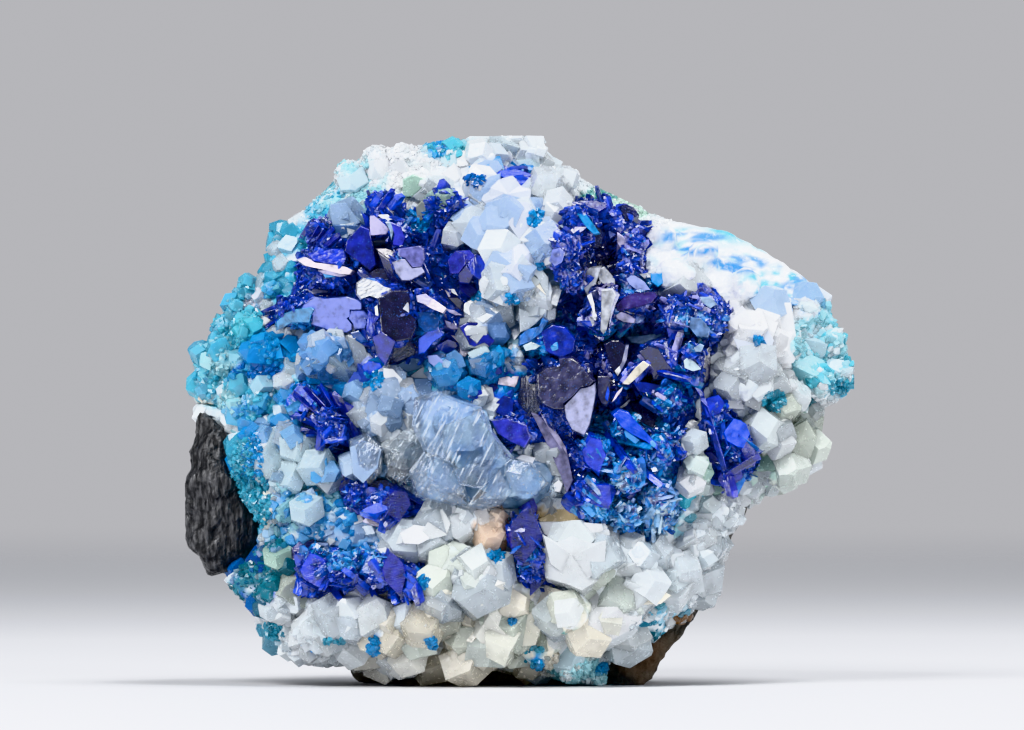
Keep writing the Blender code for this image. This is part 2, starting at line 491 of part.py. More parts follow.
def thin_out(body, share):
    """Merges the slivers that the cuts leave, more gently where a merge would open the surface."""
    while share < 1.0:
        step = body.modifiers.new("Decimate", "DECIMATE")
        step.ratio = share
        depsgraph = bpy.context.evaluated_depsgraph_get()
        result = bpy.data.meshes.new_from_object(body.evaluated_get(depsgraph))
        body.modifiers.clear()
        if is_closed(result):
            body.data = result
            return
        share += 0.04


def grown(outline, by):
    """An outline moved outwards by a distance, with mitred corners."""
    corners = []
    count = len(outline)
    area = sum(outline[i - 1][0] * outline[i][1] - outline[i][0] * outline[i - 1][1] for i in range(count))
    turn = math.copysign(1.0, area)
    for i, (x, z) in enumerate(outline):
        before = Vector((x - outline[i - 1][0], z - outline[i - 1][1])).normalized()
        after = Vector((outline[(i + 1) % count][0] - x, outline[(i + 1) % count][1] - z)).normalized()
        out = Vector((before.y + after.y, -before.x - after.x)).normalized()
        stretch = by * turn * min(1.0 / max(out.dot(Vector((after.y, -after.x))), 0.2), 2.0)
        corners.append((x + out.x * stretch, z + out.y * stretch))
    return corners


def column(outline, floor_at, grow, name):
    """Upright prism from the front of everything back to a sloping floor."""
    bm = bmesh.new()
    corners = grown(outline, grow)
    front = [bm.verts.new(point_at(x, COLUMN_FRONT, z)) for x, z in corners]
    back = [bm.verts.new(point_at(x, floor_at(x, z) + grow, z)) for x, z in corners]
    bm.faces.new(front)
    bm.faces.new(back[::-1])
    add_band(bm, front, back)
    bmesh.ops.recalc_face_normals(bm, faces=bm.faces)
    bmesh.ops.triangulate(bm, faces=bm.faces)
    return finish(bm, name)


def floor_of(group):
    """The plane at the back of a group."""
    count = len(group["outline"])
    mid_x = sum(x for x, _ in group["outline"]) / count
    mid_z = sum(z for _, z in group["outline"]) / count
    depth, slope_x, slope_z = group["floor"]
    level = crust_front(mid_x, mid_z) + depth

    def floor_at(x, z):
        return level + slope_x * (x - mid_x) + slope_z * (z - mid_z)

    return floor_at


def add_shape(bm, rings, apex=None):
    """Closed convex crystal from rings of equal count and, perhaps, a point at the end."""
    faces = [bm.faces.new(rings[0])]
    for lower, upper in zip(rings, rings[1:]):
        count = len(lower)
        for i in range(count):
            j = (i + 1) % count
            faces.append(bm.faces.new((lower[i], lower[j], upper[j], upper[i])))
    if apex:
        for here, there in zip(rings[-1], rings[-1][1:] + rings[-1][:1]):
            faces.append(bm.faces.new((here, there, apex)))
    else:
        faces.append(bm.faces.new(rings[-1]))
    bmesh.ops.recalc_face_normals(bm, faces=faces)


def add_quartz(bm, foot, lean, radius, height, rng):
    """One six-sided quartz point, its apex off the axis as on a crystal grown in a crowd."""
    turned = lean.to_track_quat("Z", "Y") @ Matrix.Rotation(rng.uniform(0.0, 1.0), 3, "Z").to_quaternion()
    widths = [radius * rng.uniform(0.86, 1.1) for _ in range(6)]
    shoulder = height - radius * rng.uniform(0.55, 0.85)
    rings = []
    for level, spread in ((0.0, 1.0), (shoulder, 0.94)):
        ring = []
        for i, width in enumerate(widths):
            angle = math.radians(60 * i)
            tilt = rng.uniform(-0.12, 0.12) * radius if level else 0.0
            local = Vector((math.cos(angle) * width * spread, math.sin(angle) * width * spread, level + tilt))
            ring.append(bm.verts.new((foot + turned @ local) * MM))
        rings.append(ring)
    off = Vector((rng.uniform(-0.3, 0.3) * radius, rng.uniform(-0.3, 0.3) * radius, height))
    add_shape(bm, rings, bm.verts.new((foot + turned @ off) * MM))


def add_blade(bm, foot, along, width, thick, length, rng):
    """One thin crystal of a sheaf, turned a little about its own length."""
    side = Vector((0.0, 0.0, 1.0)) if abs(along.y) > 0.9 else Vector((0.0, 1.0, 0.0))
    across = along.cross(side)
    across = Matrix.Rotation(rng.uniform(-0.35, 0.35), 3, along) @ across.normalized()
    add_table(bm, foot, along, across, width, thick, length, 0.6, rng)


def add_table(bm, foot, along, across, width, high, length, spread, rng):
    """Six-cornered prism from a foot, narrower at its slanting end."""
    normal = along.cross(across).normalized()
    corners = [(-0.5, 0.0), (-0.3, -0.5), (0.3, -0.5), (0.5, 0.0), (0.3, 0.5), (-0.3, 0.5)]
    slant_u = rng.uniform(-0.25, 0.25) * width
    slant_v = rng.uniform(-0.25, 0.25) * high
    rings = []
    for level, share in ((0.0, 1.0), (1.0, spread)):
        ring = []
        for u, v in corners:
            lift = length * level + level * (slant_u * u + slant_v * v)
            place = foot + along * lift + across * (u * width * share) + normal * (v * high * share)
            ring.append(bm.verts.new(place * MM))
        rings.append(ring)
    add_shape(bm, rings)


def along_face(direction, rise):
    """Unit vector at an angle along the face and another towards the viewer, in degrees."""
    turn = math.radians(direction)
    lift = math.radians(rise)
    return Vector((math.cos(turn) * math.cos(lift), -math.sin(lift), math.sin(turn) * math.cos(lift)))


def add_crystals(bm, name, rng):
    """The sheaves and the single crystals of one group."""
    for x, z, reach, count, first, last in SHEAVES.get(name, []):
        foot = Vector((x, crust_front(x, z) + 0.8, z))
        for i in range(count):
            direction = first + (last - first) * (i + 0.5) / count + rng.uniform(-8, 8)
            length = (reach + 0.6) * rng.uniform(0.8, 1.1)
            along = along_face(direction, rng.uniform(28, 52))
            add_blade(bm, foot, along, rng.uniform(1.0, 1.6), rng.uniform(0.5, 0.8), length, rng)
    for x, z, width, high, rise, twist, lean_x, lean_z in BLOCKS.get(name, []):
        along = Vector((lean_x, -1.0, lean_z)).normalized()
        turn = math.radians(twist)
        across = Vector((math.cos(turn), 0.0, math.sin(turn)))
        across = (across - along * across.dot(along)).normalized()
        foot = Vector((x - lean_x * rise, crust_front(x, z), z - lean_z * rise)) - along * ROOT
        add_table(bm, foot, along, across, width, high, rise + ROOT, rng.uniform(0.8, 0.92), rng)


def relief_body():
    """The plain crust, whose front every group shares."""
    relief = lattice(CRUST_OUTLINE, CRUST_FACET, 3)
    return slab(CRUST_OUTLINE, relief, scaled(CRUST_OUTLINE, 0.88), crust_front, crust_back, 0.985)


def material(name, colour, roughness, metallic=0.0, transmission=0.0, ior=1.54):
    made = bpy.data.materials.new(name)
    made.use_nodes = True
    shader = made.node_tree.nodes["Principled BSDF"]
    shader.inputs["Base Color"].default_value = (*colour, 1.0)
    shader.inputs["Roughness"].default_value = roughness
    shader.inputs["Metallic"].default_value = metallic
    shader.inputs["Transmission Weight"].default_value = transmission
    shader.inputs["IOR"].default_value = ior
    return made


def make_host_rock():
    broken = lattice(HOST_OUTLINE, HOST_FACET, 5)
    bm = slab(HOST_OUTLINE, [], broken, lambda x, z: contact(x, z) + GAP, host_back)
    return finish(bm, "host_rock")


def make_quartz_matrix():
    rng = random.Random(11)
    body = finish(relief_body(), "quartz_matrix")
    bm = bmesh.new()
    for x, z, radius, height, lean_x, lean_z in QUARTZ_POINTS:
        lean = Vector((lean_x, -1.0, lean_z)).normalized()
        foot = Vector((x, crust_front(x, z), z)) - lean * ROOT
        add_quartz(bm, foot, lean, radius, height + ROOT, rng)
    combine(body, finish(bm, "points"), "UNION")
    return body


def make_group(name, group, seed):
    """One copper mineral group: the crust's relief and its crystals, kept inside the column."""
    rng = random.Random(seed)
    body = finish(relief_body(), name)
    bm = bmesh.new()
    add_crystals(bm, name, rng)
    combine(body, finish(bm, "crystals"), "UNION")
    combine(body, column(group["outline"], floor_of(group), 0.0, "column"), "INTERSECT")
    return body


def make_turquoise_crust():
    body = finish(relief_body(), "turquoise_crust")
    bm = bmesh.new()
    for x, z, radius in GRAINS:
        place = Matrix.Translation(point_at(x, crust_front(x, z) - 0.25 * radius, z))
        rounds = 1 if radius < 1.5 else 2
        bmesh.ops.create_icosphere(bm, subdivisions=rounds, radius=radius * MM, matrix=place)
    combine(body, finish(bm, "grains"), "UNION")
    combine(body, column(TURQUOISE["outline"], floor_of(TURQUOISE), 0.0, "column"), "INTERSECT")
    return body


def make_galena_lump():
    ridges = lattice(GALENA_OUTLINE, GALENA_FACET, 7)
    bm = slab(GALENA_OUTLINE, ridges, [], galena_front, contact)
    return finish(bm, "galena_lump")


def cut_hollows(body):
    """Cuts each hollow with a long egg whose rear end is the hollow's bottom."""
    for x, z, wide, high, deeper in HOLLOWS:
        bm = bmesh.new()
        bottom = crust_front(x, z) + deeper
        place = Matrix.Translation(point_at(x, bottom - HOLLOW_REACH, z))
        scale = Matrix.Diagonal((wide, HOLLOW_REACH, high, 1.0))
        bmesh.ops.create_icosphere(bm, subdivisions=2, radius=MM, matrix=place @ scale)
        combine(body, finish(bm, "hollow"), "DIFFERENCE", "MANIFOLD")


def main():
    for old in list(bpy.data.objects):
        bpy.data.objects.remove(old)

    linarite = material("linarite", (0.010, 0.020, 0.32), 0.12, ior=1.84)
    clear_quartz = material("clear quartz", (0.86, 0.93, 0.96), 0.04, transmission=0.9)
    groups = {
        "linarite_upper_left": (UPPER_LEFT, 21, linarite),
        "linarite_left_fan": (LEFT_FAN, 22, linarite),
        "linarite_lower_left": (LOWER_LEFT, 23, linarite),
        "linarite_vug": (VUG, 24, linarite),
        "linarite_right_lobe": (RIGHT_LOBE, 25, linarite),
        "linarite_lower_blade": (LOWER_BLADE, 26, linarite),
        "linarite_top_tuft": (TOP_TUFT, 27, linarite),
        "clear_crystal": (CLEAR_CRYSTAL, 28, clear_quartz),
    }

    host = make_host_rock()
    host.data.materials.append(material("host rock", (0.05, 0.05, 0.04), 0.85))
    quartz = make_quartz_matrix()
    quartz.data.materials.append(material("milky quartz", (0.80, 0.83, 0.86), 0.25, transmission=0.3))
    galena = make_galena_lump()
    galena.data.materials.append(material("galena", (0.06, 0.06, 0.065), 0.4, metallic=0.7))
    turquoise = make_turquoise_crust()
    turquoise.data.materials.append(material("turquoise druse", (0.10, 0.50, 0.68), 0.25))

    for name, (group, seed, finish_material) in groups.items():
        body = make_group(name, group, seed)
        if name == "linarite_vug":
            cut_hollows(body)
        keep_largest(body)
        body.data.materials.clear()
        body.data.materials.append(finish_material)
        combine(quartz, column(group["outline"], floor_of(group), GAP, "pocket"), "DIFFERENCE")

    keep_largest(turquoise)
    combine(quartz, column(TURQUOISE["outline"], floor_of(TURQUOISE), GAP, "pocket"), "DIFFERENCE")
    behind_galena = column(GALENA_OUTLINE, lambda x, z: contact(x, z) + GALENA_DEPTH, GAP, "pocket")
    combine(quartz, behind_galena, "DIFFERENCE")
    keep_largest(quartz)
    for body in list(bpy.data.objects):
        if body not in (host, galena):
            thin_out(body, KEPT_SHARE)
    for body in (host, galena, turquoise):
        round_off(body)


main()
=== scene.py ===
"""Linarite on quartz: the look of the specimen, dressed around its solids.

Tables give places as (column, row) in the photograph's 1024 x 730 frame, and sizes in millimetres.
Every crystal stands on the solid that lies behind its place. Shapes are gathered in millimetres, and
MM turns them into metres where a mesh is made.
"""

import math
from itertools import product

import bpy
import numpy as np
from mathutils import Matrix, Vector
from mathutils.bvhtree import BVHTree


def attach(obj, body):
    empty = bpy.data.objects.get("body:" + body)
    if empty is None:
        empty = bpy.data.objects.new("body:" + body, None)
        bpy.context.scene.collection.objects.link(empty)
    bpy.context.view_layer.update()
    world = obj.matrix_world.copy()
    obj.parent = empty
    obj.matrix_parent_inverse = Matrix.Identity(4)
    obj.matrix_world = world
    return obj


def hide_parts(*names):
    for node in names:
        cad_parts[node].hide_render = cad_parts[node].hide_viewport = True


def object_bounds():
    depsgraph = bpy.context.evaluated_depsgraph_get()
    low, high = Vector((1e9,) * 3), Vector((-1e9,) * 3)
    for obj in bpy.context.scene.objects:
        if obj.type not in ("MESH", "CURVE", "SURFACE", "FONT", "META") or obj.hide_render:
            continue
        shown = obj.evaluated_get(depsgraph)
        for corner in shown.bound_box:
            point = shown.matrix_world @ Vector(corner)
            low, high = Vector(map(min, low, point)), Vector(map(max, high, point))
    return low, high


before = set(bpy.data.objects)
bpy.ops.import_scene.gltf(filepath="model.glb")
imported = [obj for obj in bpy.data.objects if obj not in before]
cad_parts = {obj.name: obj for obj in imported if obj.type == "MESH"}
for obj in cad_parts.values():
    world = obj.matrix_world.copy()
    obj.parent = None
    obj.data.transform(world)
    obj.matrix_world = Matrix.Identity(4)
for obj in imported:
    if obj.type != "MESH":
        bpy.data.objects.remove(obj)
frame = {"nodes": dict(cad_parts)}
CAD_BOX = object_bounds()

MM = 0.001
PHOTO_WIDTH = 1024
PHOTO_HEIGHT = 730
PIXEL = 0.095  # millimetres on the specimen that one pixel covers
FOOT_COLUMN = 515  # where the middle of the foot stands in the photograph
FOOT_ROW = 683
BOX_LOW = np.array(CAD_BOX[0]) / MM
BOX_HIGH = np.array(CAD_BOX[1]) / MM

LINARITE_GROUPS = (
    "linarite_upper_left",
    "linarite_left_fan",
    "linarite_lower_left",
    "linarite_vug",
    "linarite_right_lobe",
    "linarite_lower_blade",
    "linarite_top_tuft",
)

# Colours of the specimen, matched to the photograph, and of the studio. On the linarite, the lavender,
# lilac, blush and silver stand for painted reflections and glints of the lights, not colours of its own
COLOURS = {
    "navy": "#0a0e44", "indigo": "#161e7c", "royal": "#0e2aa2", "cobalt": "#1248d2",
    "violet": "#2c3098", "lavender": "#7280d0", "lilac_glint": "#c8c2ea", "slate": "#34334f",
    "pewter": "#8f92b4", "silver_reflection": "#c6cad4", "blush_glint": "#e6dbe6", "teal_blue": "#0d50a6",
    "azure": "#2090d8", "sky": "#55a7e6", "deep_azure": "#0864b8", "white": "#f3f5f8",
    "milk": "#e8edf0", "frost": "#dde3f0", "ice": "#cfe6f0", "mist": "#ccd6de", "pale_cyan": "#a5dbe6",
    "cyan": "#5ec4da", "turquoise": "#4aa8c8", "teal": "#1d7286", "green": "#5a9c98",
    "pale_green": "#b4d3c6", "cream": "#f2ecdc", "sand": "#d2be96", "peach": "#ecd2bc",
    "brown": "#7d5a34", "night": "#211e40", "violet_night": "#2c2258", "lavender_grey": "#8f8cb4",
    "pewter_blue": "#6b6cb0", "steel": "#6484b4", "ice_blue": "#b2cbee", "sky_grey": "#6b9bd0",
    "periwinkle": "#9aa8e4", "grey": "#c6ccd0", "blue_grey": "#8fa8c8", "green_grey": "#ccd4ca",
    "blue_speck": "#5086e1", "clear_body": "#eff7ff", "rock_dark": "#292826", "rock_pale": "#656159",
    "rust": "#6f4d30", "galena_dark": "#272728", "galena_streak": "#616163", "pale_floor": "#d7d7da",
    "room": "#eff5ff", "backdrop": "#bcbcc0",
}

# Large linarite crystals that turn a broad face to the viewer: column, row, width, height, thickness,
# twist, lean to +X, lean to +Z, lift above the solid, colour
# Plates in lilac and blush are painted glints of the lights.
LINARITE_PLATES = {
    "linarite_left_fan": [
        (305, 398, 2.6, 2.2, 1.2, 20, -0.20, 0.10, 0.3, "cobalt"),
        (318, 414, 2.8, 1.6, 1.2, -30, -0.10, 0.20, 0.4, "indigo"),
        (343, 468, 1.3, 1.4, 0.9, 15, -0.10, 0.30, 0.6, "lilac_glint"),
        (352, 462, 1.8, 2.4, 1.2, 20, 0.10, 0.10, 0.4, "royal"),
        (366, 478, 2.4, 2.6, 1.4, 35, -0.10, 0.05, 0.4, "navy"),
        (384, 488, 2.4, 1.8, 1.4, -20, 0.10, 0.20, 0.5, "navy"),
        (400, 501, 2.8, 2.8, 1.4, 10, 0.10, 0.00, 0.5, "indigo"),
        (378, 509, 2.1, 1.0, 1.0, 4, 0.00, 0.30, 0.9, "cobalt"),
        (379, 520, 2.1, 0.8, 0.8, -4, 0.00, 0.20, 0.9, "blush_glint"),
        (416, 492, 2.6, 1.3, 1.2, -24, 0.10, 0.30, 0.5, "blue_grey"),
        (352, 484, 1.8, 1.8, 1.0, 30, -0.20, 0.00, 0.4, "indigo"),
    ],
    "linarite_lower_left": [
        (303, 551, 1.7, 1.9, 1.1, 8, -0.15, 0.10, 0.6, "violet"),
        (313, 545, 1.2, 1.6, 1.0, -20, 0.30, 0.20, 0.6, "navy"),
        (318, 566, 2.4, 2.8, 1.3, 20, -0.10, 0.00, 0.4, "royal"),
        (330, 581, 2.4, 1.5, 1.1, -24, 0.00, -0.20, 0.5, "violet"),
        (308, 586, 1.5, 1.6, 1.0, 10, -0.10, -0.20, 0.4, "cobalt"),
        (362, 586, 3.4, 1.1, 1.1, -26, 0.00, -0.10, 0.6, "cobalt"),
        (396, 568, 1.9, 3.4, 1.2, 14, 0.10, 0.00, 0.5, "violet"),
        (380, 591, 1.6, 1.8, 1.0, -40, 0.00, -0.30, 0.4, "royal"),
        (414, 584, 1.2, 2.8, 1.1, 24, 0.20, -0.10, 0.5, "cobalt"),
        (374, 562, 1.8, 1.6, 1.0, 30, 0.00, 0.20, 0.3, "teal_blue"),
    ],
    "linarite_vug": [
        (590, 211, 2.8, 1.2, 1.2, 6, 0.00, 0.50, 0.5, "violet"),
        (628, 216, 1.8, 1.4, 1.0, -38, 0.30, 0.40, 0.5, "navy"),
        (592, 238, 1.8, 2.2, 1.1, 10, 0.10, 0.10, 0.2, "navy"),
        (575, 502, 2.6, 1.9, 1.2, -18, -0.10, 0.05, 0.5, "cobalt"),
        (600, 492, 2.4, 2.2, 1.2, 24, 0.00, 0.00, 0.4, "royal"),
        (594, 452, 2.2, 3.4, 1.3, 12, 0.05, 0.05, 0.4, "royal"),
        (612, 462, 2.2, 2.6, 1.2, -30, 0.20, 0.10, 0.4, "cobalt"),
        (640, 462, 2.6, 2.0, 1.2, 34, 0.10, 0.10, 0.4, "indigo"),
    ],
    "linarite_right_lobe": [
        (711, 407, 1.8, 2.4, 1.1, -34, 0.20, 0.20, 0.5, "royal"),
        (733, 432, 2.2, 2.4, 1.2, 18, 0.15, 0.10, 0.5, "cobalt"),
        (707, 456, 1.8, 1.2, 1.0, -20, -0.20, -0.20, 0.6, "violet"),
        (744, 452, 1.4, 2.4, 1.1, 14, 0.40, 0.00, 0.5, "indigo"),
        (727, 474, 2.2, 2.8, 1.3, 16, 0.10, -0.20, 0.5, "indigo"),
        (722, 452, 1.6, 2.0, 1.0, -10, 0.00, 0.10, 0.4, "royal"),
    ],
    "linarite_lower_blade": [
        (514, 517, 1.3, 2.2, 1.0, -6, -0.20, 0.15, 0.8, "pewter"),
        (528, 508, 1.4, 1.8, 1.0, -14, 0.10, 0.25, 0.9, "violet"),
        (524, 532, 2.6, 4.6, 1.2, -8, -0.05, 0.00, 0.5, "indigo"),
        (541, 566, 1.5, 4.0, 1.1, -24, 0.10, 0.00, 0.4, "royal"),
        (514, 552, 1.0, 2.6, 1.0, 4, -0.20, 0.00, 0.4, "navy"),
    ],
    "linarite_top_tuft": [
        (517, 179, 3.0, 1.4, 1.0, -8, 0.00, 0.30, 0.5, "cobalt"),
        (503, 174, 1.3, 1.2, 0.8, 20, -0.20, 0.40, 0.4, "royal"),
        (530, 182, 1.3, 1.3, 0.8, -30, 0.20, 0.20, 0.4, "deep_azure"),
    ],
}
